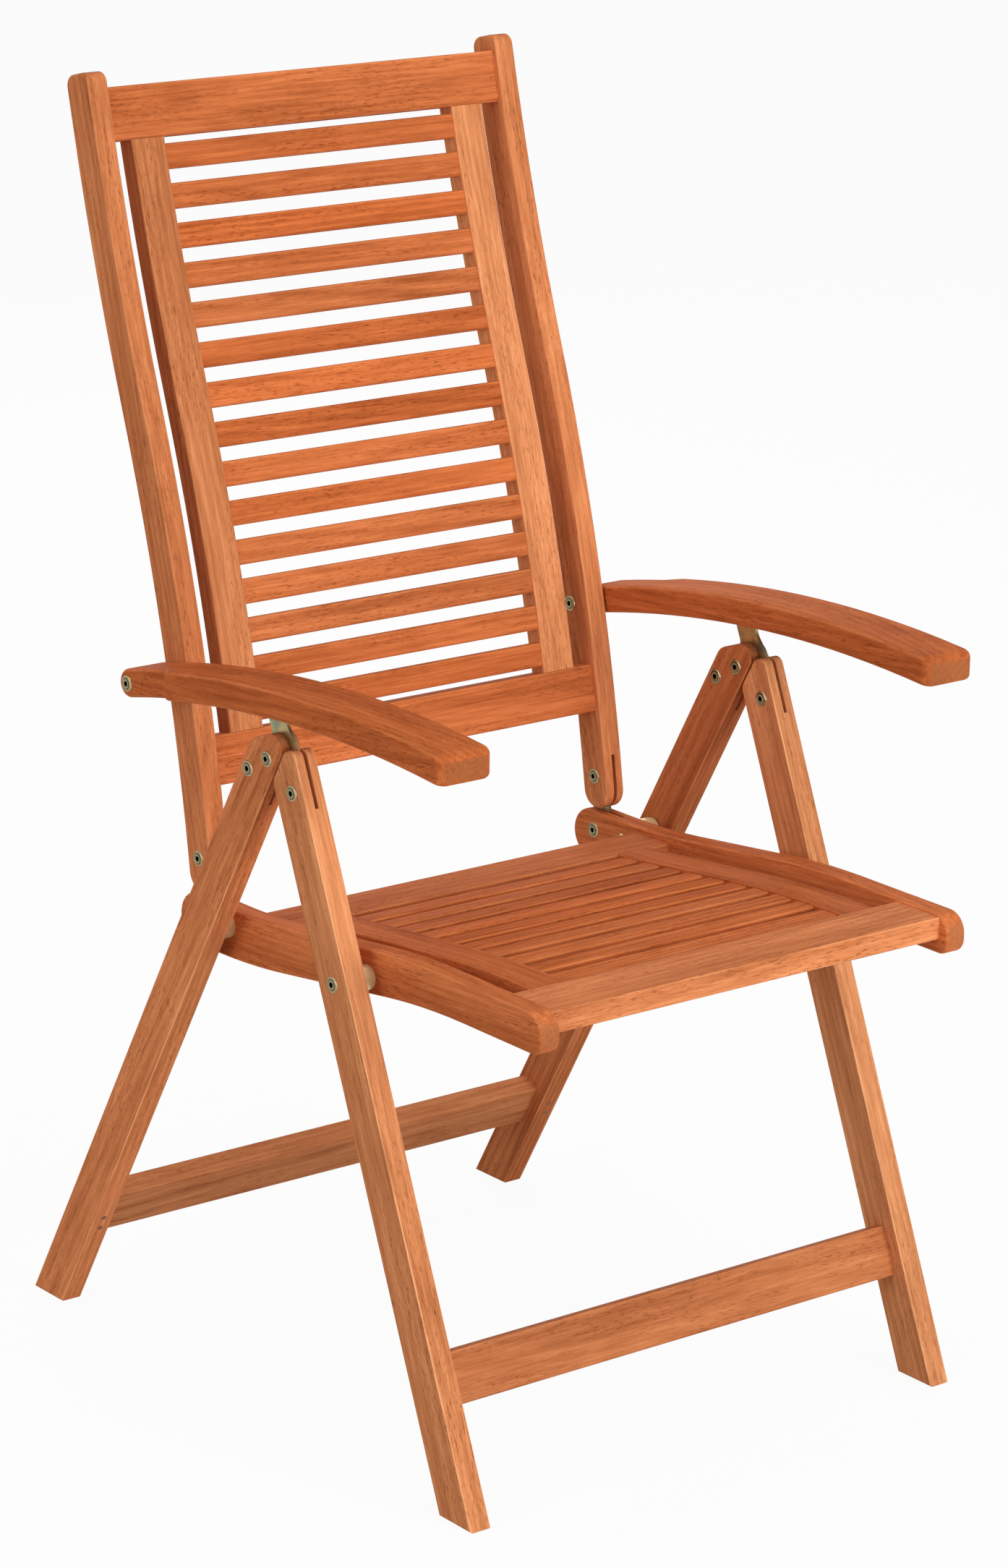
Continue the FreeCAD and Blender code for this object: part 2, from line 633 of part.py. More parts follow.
def steel_pair(label, x, pieces, bores):
    """The same flat steel piece on both sides of the chair, with its bolt holes."""
    body = new_body(label)
    outline = sketch_on(body, "YZ_Plane", "outline", x)
    draw(outline, pieces)
    features = [pad(body, outline, "Dims.plate_thick")]
    for number, spot in enumerate(bores):
        bore = sketch_on(body, "YZ_Plane", "bore_%d" % number, x)
        ring = bore.addGeometry(Part.Circle(flat(spot), V(0, 0, 1), 3), False)
        bore.addConstraint(Sketcher.Constraint("Diameter", ring, 6))
        bore.renameConstraint(bore.ConstraintCount - 1, "bore")
        bore.setExpression("Constraints.bore", BOLT_HOLE)
        doc.recompute()
        features.append(pocket(body, bore, "2*Dims.plate_thick", midplane=True))
    mirror_body(body, features)


steel_pair("apex_plates", LEG_MID, rounded(plate_corners()), [APEX] + PLATE_BOLTS)

# seat frame

def side_rail(side, label):
    end = dim("knuckle_y") + dim("knuckle_height") / 2
    high = SEAT_REAR_Z
    low = high - dim("knuckle_height")
    crown = SEAT_FRONT_Z
    under = crown - dim("nose_height")
    nose = dim("seat_front_y")
    swing = dim("bend_radius")
    body = new_body(label)
    outline = sketch_on(body, "YZ_Plane", "outline")
    draw(outline, rounded([
        (end, high, dim("knuckle_height") / 2), (dim("top_bend_rear_y"), high, swing),
        (dim("top_bend_front_y"), crown, swing), (nose, crown, dim("nose_round")),
        (nose, under, dim("chin_round")), (dim("low_bend_front_y"), under, swing),
        (dim("low_bend_rear_y"), low, swing), (end, low, dim("knuckle_height") / 2)]))
    base = pad(body, outline, "Dims.rail_thick")
    fillet(body, base, edge_names(base.Shape, is_across_x), "Dims.rail_round")
    hole(body, "pivot_hole", SEAT_PIVOT[0], SEAT_PIVOT[1], BOLT_HOLE)
    hole(body, "pin_hole", SLIDE_PIN[0], SLIDE_PIN[1], BOLT_HOLE)
    hole(body, "link_hole", LINK_LOW[0], LINK_LOW[1], BOLT_HOLE)
    slot = sketch_on(body, "YZ_Plane", "slot")
    start = LINK_LOW[0] - dim("link_slot")
    room = dim("knuckle_height")
    draw(slot, rounded([(start, low - room, 0), (end + room, low - room, 0),
                        (end + room, high + room, 0), (start, high + room, 0)]))
    pocket(body, slot, RUNNING_SLOT, midplane=True)
    set_place(body, side * RAIL_MID)


for side, hand in ((-1, "left"), (1, "right")):
    side_rail(side, "seat_side_rail_" + hand)

FRONT_RAIL_BACK = dim("seat_front_y") + dim("front_rail_set") + dim("front_rail_depth")
REAR_RAIL_FRONT = dim("rear_rail_y") - dim("rear_rail_depth")

front_rail = board("seat_front_rail", BETWEEN_RAILS, "Dims.front_rail_depth",
                   "Dims.board_thick", "Dims.slat_round")
set_place(front_rail, 0, FRONT_RAIL_BACK - dim("front_rail_depth") / 2,
          SEAT_FRONT_Z - dim("front_rail_drop") - dim("board_thick") / 2)
rear_rail = board("seat_rear_rail", BETWEEN_RAILS, "Dims.rear_rail_depth",
                  "Dims.board_thick", "Dims.edge_round")
set_place(rear_rail, 0, dim("rear_rail_y") - dim("rear_rail_depth") / 2,
          SEAT_REAR_Z - dim("rear_rail_drop") - dim("board_thick") / 2)

# the seat surface rises forwards in a straight line and levels out in a bend
DISH_REAR = SEAT_REAR_Z - dim("dish_rear_drop")
DISH_FRONT = SEAT_FRONT_Z - dim("dish_front_drop")
DISH_Y = FRONT_RAIL_BACK + dim("dish_back")
DISH_SLOPE = (DISH_FRONT - DISH_REAR) / (REAR_RAIL_FRONT - DISH_Y)
DISH_REACH = dim("dish_radius") * math.tan(math.atan(DISH_SLOPE) / 2)


def seat_height(y):
    """Height and slope of the seat's upper surface."""
    run = y - (DISH_Y - DISH_REACH)
    radius = dim("dish_radius")
    if run <= 0:
        return DISH_FRONT, 0.0
    if run < radius * math.sin(math.atan(DISH_SLOPE)):
        depth = math.sqrt(radius * radius - run * run)
        return DISH_FRONT - radius + depth, -run / depth
    return DISH_FRONT - DISH_SLOPE * (y - DISH_Y), -DISH_SLOPE


def inner_rail(side, label):
    deep = dim("board_thick")
    swing = dim("dish_radius")
    body = new_body(label)
    outline = sketch_on(body, "YZ_Plane", "outline")
    draw(outline, rounded([
        (REAR_RAIL_FRONT, DISH_REAR, 0), (DISH_Y, DISH_FRONT, swing), (FRONT_RAIL_BACK, DISH_FRONT, 0),
        (FRONT_RAIL_BACK, DISH_FRONT - deep, 0), (DISH_Y, DISH_FRONT - deep, swing),
        (REAR_RAIL_FRONT, DISH_REAR - deep, 0)]))
    base = pad(body, outline, "Dims.seat_inner_width")

    def is_long_edge(edge):
        return is_across_x(edge) and edge.BoundBox.YLength > deep

    fillet(body, base, edge_names(base.Shape, is_long_edge), "Dims.edge_round")
    set_place(body, side * (RAIL_IN - dim("seat_inner_gap") - dim("seat_inner_width") / 2))


for side, hand in ((-1, "left"), (1, "right")):
    inner_rail(side, "seat_inner_rail_" + hand)

slat_room = REAR_RAIL_FRONT - FRONT_RAIL_BACK
slat_gap = (slat_room - SEAT_SLATS * dim("seat_slat_width")) / (SEAT_SLATS + 1)
for number in range(SEAT_SLATS):
    slat = board("seat_slat_%02d" % (number + 1),
                 BETWEEN_RAILS + " - 2*(Dims.seat_inner_gap + Dims.seat_inner_width)",
                 "Dims.seat_slat_width", "Dims.slat_thick", "Dims.slat_round")
    y = FRONT_RAIL_BACK + (number + 1) * slat_gap + (number + 0.5) * dim("seat_slat_width")
    top, slope = seat_height(y)
    set_place(slat, 0, y, top - dim("slat_drop") - dim("slat_thick") / 2, math.degrees(math.atan(slope)))

# back frame

def back_stile(side, label):
    wide = dim("stile_width")
    low = STILE_LOW_Z
    high = dim("stile_high_z")
    body = new_body(label)
    outline = sketch_on(body, "YZ_Plane", "outline")
    front_low, lean_low = stile_line(low)
    rear_low = stile_line(low, wide)[0]
    down = V(-math.sin(lean_low), -math.cos(lean_low), 0)
    foot = (front_low + rear_low) * 0.5 + down * (wide / 2)
    front_high, lean_high = stile_line(high)
    rear_high = stile_line(high, wide)[0]
    up = V(math.sin(lean_high), math.cos(lean_high), 0)
    across = V(math.cos(lean_high), -math.sin(lean_high), 0)
    radius = dim("cap_round")
    top_front = front_high + up * (dim("stile_cap") - radius)
    top_rear = rear_high + up * (dim("stile_cap") - radius)
    corner = radius * math.sqrt(0.5)
    front_centre = top_front + across * radius
    rear_centre = top_rear - across * radius
    front_top = front_centre + up * radius
    rear_top = rear_centre + up * radius
    rear = stile_arcs(wide, low, high)
    rear.reverse()
    draw(outline, stile_arcs(0.0, low, high) + [
        Part.LineSegment(front_high, top_front),
        Part.Arc(top_front, front_centre + (up - across) * corner, front_top),
        Part.LineSegment(front_top, rear_top),
        Part.Arc(rear_top, rear_centre + (up + across) * corner, top_rear),
        Part.LineSegment(top_rear, rear_high)] + rear + [Part.Arc(rear_low, foot, front_low)])
    base = pad(body, outline, "Dims.rail_thick")
    fillet(body, base, edge_names(base.Shape, is_across_x), "Dims.rail_round")
    hole(body, "link_hole", LINK_HIGH[0], LINK_HIGH[1], BOLT_HOLE)
    hole(body, "arm_hole", ARM_PIVOT[0], ARM_PIVOT[1], BOLT_HOLE)
    slot = sketch_on(body, "YZ_Plane", "slot")
    y, z = LINK_HIGH
    draw(slot, rounded([(y - 2 * wide, z - 2 * wide, 0), (y + 2 * wide, z - 2 * wide, 0),
                        (y + 2 * wide, z + dim("stile_slot"), 0), (y - 2 * wide, z + dim("stile_slot"), 0)]))
    pocket(body, slot, RUNNING_SLOT, midplane=True)
    set_place(body, side * RAIL_MID)


for side, hand in ((-1, "left"), (1, "right")):
    back_stile(side, "back_stile_" + hand)

RAIL_HEIGHTS = {"top": dim("stile_high_z") - dim("top_rail_drop"),
                "bottom": STILE_LOW_Z + dim("bottom_rail_up")}
for name, height in RAIL_HEIGHTS.items():
    rail = board("back_%s_rail" % name, BETWEEN_RAILS, "Dims.board_thick",
                 "Dims.%s_rail_height" % name, "Dims.edge_round")
    y, z, lean = panel_place(height, dim("board_thick") / 2)
    set_place(rail, 0, y, z, lean)


def rail_edge(name, up):
    """Long edge of a back rail in the side view: a point and the direction across it."""
    y, z, lean = panel_place(RAIL_HEIGHTS[name], dim("board_thick") / 2)
    half = up * dim(name + "_rail_height") / 2
    a = math.radians(lean)
    return V(y - half * math.sin(a), z + half * math.cos(a), 0), V(-math.sin(a), math.cos(a), 0)


def meet(depth, edge):
    """Height on the stile's front from which a depth of the back ends on a rail's edge."""
    low = STILE_LOW_Z
    high = dim("stile_high_z")
    for _ in range(50):
        middle = (low + high) / 2
        if (stile_line(middle, depth)[0] - edge[0]).dot(edge[1]) < 0:
            low = middle
        else:
            high = middle
    return (low + high) / 2


LOW_EDGE = rail_edge("bottom", 1)
HIGH_EDGE = rail_edge("top", -1)


def inner_stile(side, label):
    near = dim("panel_setback")
    far = near + dim("board_thick")
    front = stile_arcs(near, meet(near, LOW_EDGE), meet(near, HIGH_EDGE))
    rear = stile_arcs(far, meet(far, LOW_EDGE), meet(far, HIGH_EDGE))
    body = new_body(label)
    outline = sketch_on(body, "YZ_Plane", "outline")
    draw(outline, front + [Part.LineSegment(front[1].EndPoint, rear[1].EndPoint)]
         + rear[::-1] + [Part.LineSegment(rear[0].StartPoint, front[0].StartPoint)])
    base = pad(body, outline, "Dims.back_inner_width")

    def is_long_edge(edge):
        return is_across_x(edge) and edge.BoundBox.ZLength > 2 * dim("board_thick")

    fillet(body, base, edge_names(base.Shape, is_long_edge), "Dims.edge_round")
    set_place(body, side * (RAIL_IN - dim("back_inner_gap") - dim("back_inner_width") / 2))


for side, hand in ((-1, "left"), (1, "right")):
    inner_stile(side, "back_inner_stile_" + hand)

slat_depth = dim("slat_drop") + dim("slat_thick") / 2
panel_low = meet(dim("panel_setback") + slat_depth, LOW_EDGE)
panel_high = meet(dim("panel_setback") + slat_depth, HIGH_EDGE)
pitch = (panel_high - panel_low) / BACK_SLATS
for number in range(BACK_SLATS):
    slat = board("back_slat_%02d" % (number + 1),
                 BETWEEN_RAILS + " - 2*(Dims.back_inner_gap + Dims.back_inner_width)",
                 "Dims.slat_thick", "Dims.back_slat_height", "Dims.slat_round")
    y, z, lean = panel_place(panel_high - (number + 0.5) * pitch, slat_depth)
    set_place(slat, 0, y, z, lean)

# hinge links, one on each side, in the saw slots of seat rail and back stile
link_along = (flat(LINK_HIGH) - flat(LINK_LOW)).normalize() * (dim("link_width") / 2)
link_across = V(link_along.y, -link_along.x, 0)
link_low = flat(LINK_LOW)
link_high = flat(LINK_HIGH)
steel_pair("hinge_links", RAIL_MID, [
    Part.LineSegment(link_low + link_across, link_high + link_across),
    Part.Arc(link_high + link_across, link_high + link_along, link_high - link_across),
    Part.LineSegment(link_high - link_across, link_low - link_across),
    Part.Arc(link_low - link_across, link_low - link_along, link_low + link_across)],
    [LINK_LOW, LINK_HIGH])

# arms

ARM_SLOPE = math.radians(dim("arm_slope"))
ARM_CENTRE = (ARM_PIVOT[0] - dim("arm_radius") * math.sin(ARM_SLOPE),
              ARM_PIVOT[1] - dim("arm_radius") * math.cos(ARM_SLOPE))
RACK_TOP = TONGUE_TOP + dim("rack_clear") + dim("rack_high")


def arm_face(share, y):
    """Side view point of the arm's top (share 1) or underside (share -1)."""
    radius = dim("arm_radius") + share * dim("arm_thick") / 2
    return (y, ARM_CENTRE[1] + math.sqrt(radius ** 2 - (y - ARM_CENTRE[0]) ** 2))


def armrest(side, label):
    rear_y, rear_z = ARM_PIVOT
    front_y = dim("arm_front_y")
    wide = dim("arm_width")
    reach = dim("arm_thick") / 2
    room = dim("arm_thick")
    tip = (rear_y + reach * math.cos(ARM_SLOPE), rear_z - reach * math.sin(ARM_SLOPE))
    faces = {}
    for share in (1, -1):
        root = rear_y + share * reach * math.sin(ARM_SLOPE)
        ahead = front_y - room
        faces[share] = [arm_face(share, root), arm_face(share, (root + ahead) / 2), arm_face(share, ahead)]
    upper, lower = faces[1], faces[-1]
    body = new_body(label)
    outline = sketch_on(body, "YZ_Plane", "outline")
    draw(outline, [arc(*upper), line(upper[2], lower[2]), arc(*reversed(lower)), arc(lower[0], tip, upper[0])])
    pad(body, outline, "Dims.arm_width")
    # the plan is cut from the bent board: rounded front corners and a coved step at the rear
    plan = sketch_on(body, "XY_Plane", "plan", rear_z - 4 * room)
    inner = -side * wide / 2
    outer = side * wide / 2
    step = side * (wide / 2 - dim("arm_step"))
    step_y = rear_y - dim("arm_step_front")
    far = side * wide
    draw(plan, rounded([(-far, rear_y + 3 * room, 0), (far, rear_y + 3 * room, 0),
                        (far, front_y - 3 * room, 0), (-far, front_y - 3 * room, 0)]))
    draw(plan, rounded([(inner, rear_y + 2 * room, 0), (step, rear_y + 2 * room, 0),
                        (step, step_y, dim("step_round")),
                        (outer, step_y - dim("step_run"), 0.8 * dim("step_round")),
                        (outer, front_y, dim("arm_nose")), (inner, front_y, dim("arm_nose"))]))
    pocket(body, plan, "8*Dims.arm_thick", reverse=True)
    # the top rolls over at the front end, in an arc that leaves the top smoothly
    roll = dim("arm_roll")
    bend_y, bend_z = arm_face(1, front_y + dim("arm_bullnose"))
    lean = (bend_y - ARM_CENTRE[0]) / (dim("arm_radius") + dim("arm_thick") / 2)
    hub = (bend_y - roll * lean, bend_z - roll * math.sqrt(1 - lean ** 2))
    over = [(y, hub[1] + math.sqrt(roll ** 2 - (y - hub[0]) ** 2)) for y in ((bend_y + front_y) / 2, front_y - 1)]
    nose = sketch_on(body, "YZ_Plane", "nose")
    draw(nose, [arc((bend_y, bend_z), *over), line(over[1], (front_y - room, over[1][1])),
                line((front_y - room, over[1][1]), (front_y - room, bend_z + room)),
                line((front_y - room, bend_z + room), (bend_y, bend_z + room)),
                line((bend_y, bend_z + room), (bend_y, bend_z))])
    cut = pocket(body, nose, "2*Dims.arm_width", midplane=True)

    def is_rim(edge):
        box = edge.BoundBox
        upright = box.XLength < 1 and box.YLength < 1
        seam = is_along_x(edge) and (box.YMin > step_y or abs(box.YMin - bend_y) < 0.5)
        return not upright and not seam

    fillet(body, cut, edge_names(cut.Shape, is_rim), "Dims.arm_round")
    hole(body, "pivot_hole", rear_y, rear_z, BOLT_HOLE)
    groove = sketch_on(body, "YZ_Plane", "groove", side * (LEG_MID - ARM_IN - wide / 2))
    start = APEX[0] - dim("rack_front") - dim("rack_end")
    stop = APEX[0] + dim("rack_rear") + dim("rack_end")
    draw(groove, rounded([(start, RACK_TOP - 3 * room, 0), (stop, RACK_TOP - 3 * room, 0),
                          (stop, RACK_TOP, 0), (start, RACK_TOP, 0)]))
    pocket(body, groove, "Dims.plate_thick + Dims.rack_side", midplane=True)
    set_place(body, side * (ARM_IN + wide / 2))


def arm_rack(side, label):
    """Toothed steel strip in the groove under the arm."""
    front = APEX[0] - dim("rack_front")
    rear = APEX[0] + dim("rack_rear")
    low = RACK_TOP - dim("rack_high")
    deep = low + dim("rack_high") / 2
    body = new_body(label)
    outline = sketch_on(body, "YZ_Plane", "outline")
    tooth = (rear - front) / (2 * NOTCHES + 1)
    corners = [(rear, RACK_TOP, 0), (front, RACK_TOP, 0), (front, low, 0)]
    for number in range(NOTCHES):
        start = front + (2 * number + 1) * tooth
        corners += [(start, low, 0), (start, deep, 0), (start + tooth, deep, 0), (start + tooth, low, 0)]
    corners.append((rear, low, 0))
    draw(outline, rounded(corners))
    pad(body, outline, "Dims.plate_thick")
    set_place(body, side * LEG_MID)


for side, hand in ((-1, "left"), (1, "right")):
    armrest(side, "armrest_" + hand)
    arm_rack(side, "arm_rack_" + hand)

# fasteners

def bolt(body, start, stop, y=0.0, z=0.0, number=0):
    """Connector bolt along X with a flat socket head at each end; returns its features."""
    radius = dim("bolt_dia") / 2
    head = dim("head_dia") / 2
    high = dim("head_high")
    bevel = dim("head_bevel")
    section = sketch_on(body, "XY_Plane", "section_%d" % number, z)
    draw(section, rounded([
        (start - high, y, 0), (stop + high, y, 0), (stop + high, y + head - bevel, 0),
        (stop + high - bevel, y + head, 0), (stop, y + head, 0), (stop, y + radius, 0),
        (start, y + radius, 0), (start, y + head, 0), (start - high + bevel, y + head, 0),
        (start - high, y + head - bevel, 0)]))
    shank = section.addConstraint(Sketcher.Constraint("DistanceY", 4, 2, 4, 1, head - radius))
    section.renameConstraint(shank, "shoulder")
    section.setExpression("Constraints.shoulder", "(Dims.head_dia - Dims.bolt_dia)/2")
    turn = body.newObject("PartDesign::Revolution", body.Label + "_turn_%d" % number)
    turn.Profile = section
    turn.ReferenceAxis = (section, ["Edge1"])
    turn.Angle = 360
    doc.recompute()
    features = [turn]
    for end, face, inward in ((0, start - high, True), (1, stop + high, False)):
        socket = sketch_on(body, "YZ_Plane", "socket_%d_%d" % (number, end), face)
        hexagon = []
        for corner in range(6):
            a = math.radians(60 * corner + 15)
            reach = dim("socket_dia") / 2
            hexagon.append((y + reach * math.cos(a), z + reach * math.sin(a), 0))
        draw(socket, rounded(hexagon))
        features.append(pocket(body, socket, "Dims.socket_deep", reverse=inward))
    return features


def bolt_pair(label, start, stop, spots):
    """The same bolts on both sides of the chair as one group of separate pieces."""
    body = new_body(label)
    y0, z0 = spots[0]
    features = []
    for number, (y, z) in enumerate(spots):
        features += bolt(body, start, stop, y - y0, z - z0, number)
    mirror_body(body, features)
    set_place(body, 0, y0, z0)


bolt_pair("apex_pivot_bolts", LEG_IN, LEG_OUT, [APEX])
bolt_pair("apex_fixing_bolts", LEG_IN, LEG_OUT, PLATE_BOLTS)
bolt_pair("seat_pivot_bolts", RAIL_IN, LEG_OUT, [SEAT_PIVOT])
bolt_pair("link_lower_bolts", RAIL_IN, RAIL_OUT, [LINK_LOW])
bolt_pair("link_upper_bolts", RAIL_IN, RAIL_OUT, [LINK_HIGH])
ARM_BOLT_END = ARM_OUT - dim("arm_step")
for side, hand in ((-1, "left"), (1, "right")):
    pin = new_body("arm_bolt_" + hand)
    bolt(pin, *sorted((side * RAIL_IN, side * ARM_BOLT_END)))
    set_place(pin, 0, *ARM_PIVOT)


def turned_piece(body, name, corners):
    """Piece turned about X from its half section."""
    section = sketch_on(body, "XY_Plane", name)
    draw(section, rounded(corners))
    turn = body.newObject("PartDesign::Revolution", body.Label + "_" + name + "_turn")
    turn.Profile = section
    turn.ReferenceAxis = (section, ["H_Axis"])
    turn.Angle = 360
    doc.recompute()
    return turn


def ring_section(start, stop, outer):
    inner = (dim("bolt_dia") + dim("bolt_fit")) / 2
    return [(start, inner, 0), (stop, inner, 0), (stop, outer / 2, 0), (start, outer / 2, 0)]


GAP = dim("run_gap")
spacers = new_body("seat_pivot_spacers")
ring = turned_piece(spacers, "ring", ring_section(RAIL_OUT, LEG_IN - GAP, dim("spacer_dia")))
mirror_body(spacers, [ring])
set_place(spacers, 0, *SEAT_PIVOT)

pins = new_body("slide_pins")
collar = dim("collar_dia") / 2
shank = dim("bolt_dia") / 2
nose = dim("slide_dia") / 2
nose_end = LEG_IN + dim("groove_deep") - dim("pin_end_gap")
collar_end = LEG_IN - dim("collar_gap")
tail = RAIL_IN - dim("pin_tail")
pin_turn = turned_piece(pins, "section", [
    (tail, 0, 0), (nose_end, 0, 0), (nose_end, nose - dim("pin_bevel"), 0),
    (nose_end - dim("pin_bevel"), nose, 0), (collar_end, nose, 0), (collar_end, collar, 0),
    (RAIL_OUT, collar, 0), (RAIL_OUT, shank, 0), (tail, shank, 0)])
mirror_body(pins, [pin_turn])
set_place(pins, 0, *SLIDE_PIN)

for side, hand in ((-1, "left"), (1, "right")):
    washer = new_body("arm_washer_" + hand)
    ends = sorted((side * (RAIL_OUT + GAP), side * (ARM_IN - GAP)))
    turned_piece(washer, "ring", ring_section(ends[0], ends[1], dim("washer_dia")))
    set_place(washer, 0, *ARM_PIVOT)

# check every object, then write one file per piece

doc.recompute()
for item in doc.Objects:
    if "Invalid" in item.State or "Error" in item.State:
        raise RuntimeError("object failed: " + item.Label)
for body in made:
    if body.Shape.isNull() or not body.Shape.isValid() or not body.Shape.Solids:
        raise RuntimeError("bad shape: " + body.Label)

os.makedirs("parts", exist_ok=True)
for body in made:
    body.Shape.exportStep("parts/" + body.Label + ".step")
for name, spot in (("leg pivot", APEX), ("seat pivot", SEAT_PIVOT), ("slide pin", SLIDE_PIN),
                   ("lower link bolt", LINK_LOW), ("upper link bolt", LINK_HIGH), ("arm bolt", ARM_PIVOT)):
    print("%-16s y %9.4f  z %9.4f" % (name, spot[0], spot[1]))
print(len(made), "parts written")
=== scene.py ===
import json
import math
import random

import bmesh
import bpy
import numpy as np
from mathutils import Matrix, Vector


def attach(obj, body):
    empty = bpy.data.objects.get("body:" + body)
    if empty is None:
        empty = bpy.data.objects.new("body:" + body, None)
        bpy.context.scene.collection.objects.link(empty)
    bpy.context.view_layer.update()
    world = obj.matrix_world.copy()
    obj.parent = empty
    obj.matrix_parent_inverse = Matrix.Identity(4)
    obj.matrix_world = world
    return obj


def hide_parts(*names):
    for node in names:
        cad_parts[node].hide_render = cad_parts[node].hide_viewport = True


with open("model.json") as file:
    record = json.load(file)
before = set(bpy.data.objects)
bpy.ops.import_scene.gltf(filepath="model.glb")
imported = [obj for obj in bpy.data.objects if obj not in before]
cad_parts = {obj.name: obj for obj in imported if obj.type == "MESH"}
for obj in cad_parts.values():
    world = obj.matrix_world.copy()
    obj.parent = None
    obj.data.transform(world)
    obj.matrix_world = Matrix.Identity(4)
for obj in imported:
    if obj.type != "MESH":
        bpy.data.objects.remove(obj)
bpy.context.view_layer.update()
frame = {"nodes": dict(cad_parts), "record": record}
scene = bpy.context.scene
scene.view_settings.view_transform = "Standard"
nodes = frame["nodes"]
subparts = frame["record"]["subparts"]
body_of = {n: b for b, names in frame["record"]["behaviour"]["bodies"].items() for n in names}
MM = 0.001

# ---------------------------------------------------------------- camera

# fitted to the photograph, in degrees, pixels of the image and metres
AZIMUTH, ELEVATION, ROLL = -38.398, 16.888, 1.034
FOCAL_PX, CENTRE_PX = 6886.9, (704.82, 1120.98)
TARGET, DISTANCE = Vector((-0.160437, -0.211784, 0.573593)), 4.028935
IMAGE_W, IMAGE_H = 1394, 2168
SENSOR_MM = 36.0
CLIP_NEAR, CLIP_FAR = 0.05, 100.0


def make_camera():
    a, e, r = (math.radians(v) for v in (AZIMUTH, ELEVATION, ROLL))
    back = Vector((math.sin(a) * math.cos(e), -math.cos(a) * math.cos(e), math.sin(e)))
    right = Vector((math.cos(a), math.sin(a), 0.0))
    up = back.cross(right)
    right, up = math.cos(r) * right + math.sin(r) * up, math.cos(r) * up - math.sin(r) * right
    data = bpy.data.cameras.new("camera")
    data.sensor_fit = "VERTICAL"
    data.sensor_width = data.sensor_height = SENSOR_MM
    data.lens = FOCAL_PX / IMAGE_H * SENSOR_MM
    data.shift_x = (IMAGE_W / 2 - CENTRE_PX[0]) / IMAGE_H
    data.shift_y = (CENTRE_PX[1] - IMAGE_H / 2) / IMAGE_H
    data.clip_start, data.clip_end = CLIP_NEAR, CLIP_FAR
    camera = bpy.data.objects.new("camera", data)
    scene.collection.objects.link(camera)
    matrix = Matrix((right, up, back)).transposed().to_4x4()
    matrix.translation = TARGET + back * DISTANCE
    camera.matrix_world = matrix
    scene.camera = camera


make_camera()

# ---------------------------------------------------------------- node helpers


class Graph:
    """Shorthand for building one node material."""

    def __init__(self, name):
        self.material = bpy.data.materials.new(name)
        self.material.use_nodes = True
        self.tree = self.material.node_tree
        self.tree.nodes.clear()
        self.output = self.add("ShaderNodeOutputMaterial")
        self.shader = self.add("ShaderNodeBsdfPrincipled")
        self.link(self.shader.outputs[0], self.output.inputs[0])

    def add(self, kind, **settings):
        node = self.tree.nodes.new(kind)
        for key, value in settings.items():
            setattr(node, key, value)
        return node

    def link(self, source, target):
        self.tree.links.new(source, target)

    def feed(self, socket, value):
        """Link an input to an output, or set it to a value."""
        if isinstance(value, bpy.types.NodeSocket):
            self.link(value, socket)
        else:
            socket.default_value = value

    def put(self, node, **values):
        """Feed inputs by name; blanks in a name are written as underscores."""
        for key, value in values.items():
            self.feed(node.inputs[key.replace("_", " ")], value)
        return node

    def mapped(self, vector, location=(0, 0, 0), rotation=(0, 0, 0), scale=(1, 1, 1)):
        node = self.add("ShaderNodeMapping")
        self.put(node, Vector=vector, Location=location, Rotation=rotation, Scale=scale)
        return node.outputs[0]

    def noise(self, vector, scale=1.0, detail=2.0, roughness=0.5, distortion=0.0):
        node = self.add("ShaderNodeTexNoise")
        self.put(node, Vector=vector, Scale=scale, Detail=detail, Roughness=roughness,
                 Distortion=distortion)
        return node.outputs[0]

    def rings(self, vector, **values):
        """Rings round the x axis."""
        node = self.add("ShaderNodeTexWave", wave_type="RINGS", rings_direction="X",
                        wave_profile="SIN")
        return self.put(node, Vector=vector, **values).outputs["Fac"]

    def maths(self, operation, *values):
        node = self.add("ShaderNodeMath", operation=operation)
        for socket, value in zip(node.inputs, values):
            self.feed(socket, value)
        return node.outputs[0]

    def vector_maths(self, operation, *values):
        """A length or a dot product comes out as a number, anything else as a vector."""
        node = self.add("ShaderNodeVectorMath", operation=operation)
        for socket, value in zip(node.inputs, values):
            self.feed(socket, value)
        return node.outputs["Value" if operation in ("LENGTH", "DOT_PRODUCT") else "Vector"]

    def span(self, value, low, high, to_low=0.0, to_high=1.0, smooth=True):
        """Map the range low to high onto to_low to to_high, held at both ends."""
        node = self.add("ShaderNodeMapRange",
                        interpolation_type="SMOOTHSTEP" if smooth else "LINEAR")
        for socket, number in zip(node.inputs, (value, low, high, to_low, to_high)):
            self.feed(socket, number)
        return node.outputs[0]

    def ramp(self, value, stops):
        node = self.add("ShaderNodeValToRGB")
        marks = node.color_ramp.elements
        while len(marks) < len(stops):
            marks.new(0.5)
        for mark, (place, colour) in zip(marks, stops):
            mark.position = place
            mark.color = (*colour, 1.0)
        self.link(value, node.inputs[0])
        return node.outputs[0]

    def tint(self, colour, amount, other, blend="MULTIPLY"):
        """Blend a second colour over the first by a mask."""
        node = self.add("ShaderNodeMix", data_type="RGBA", blend_type=blend)
        self.link(amount, node.inputs[0])
        for socket, value in ((node.inputs[6], colour), (node.inputs[7], other)):
            self.feed(socket, (*value, 1.0) if isinstance(value, tuple) else value)
        return node.outputs[2]

    def bump(self, height, strength, distance):
        node = self.add("ShaderNodeBump")
        return self.put(node, Height=height, Strength=strength, Distance=distance).outputs[0]


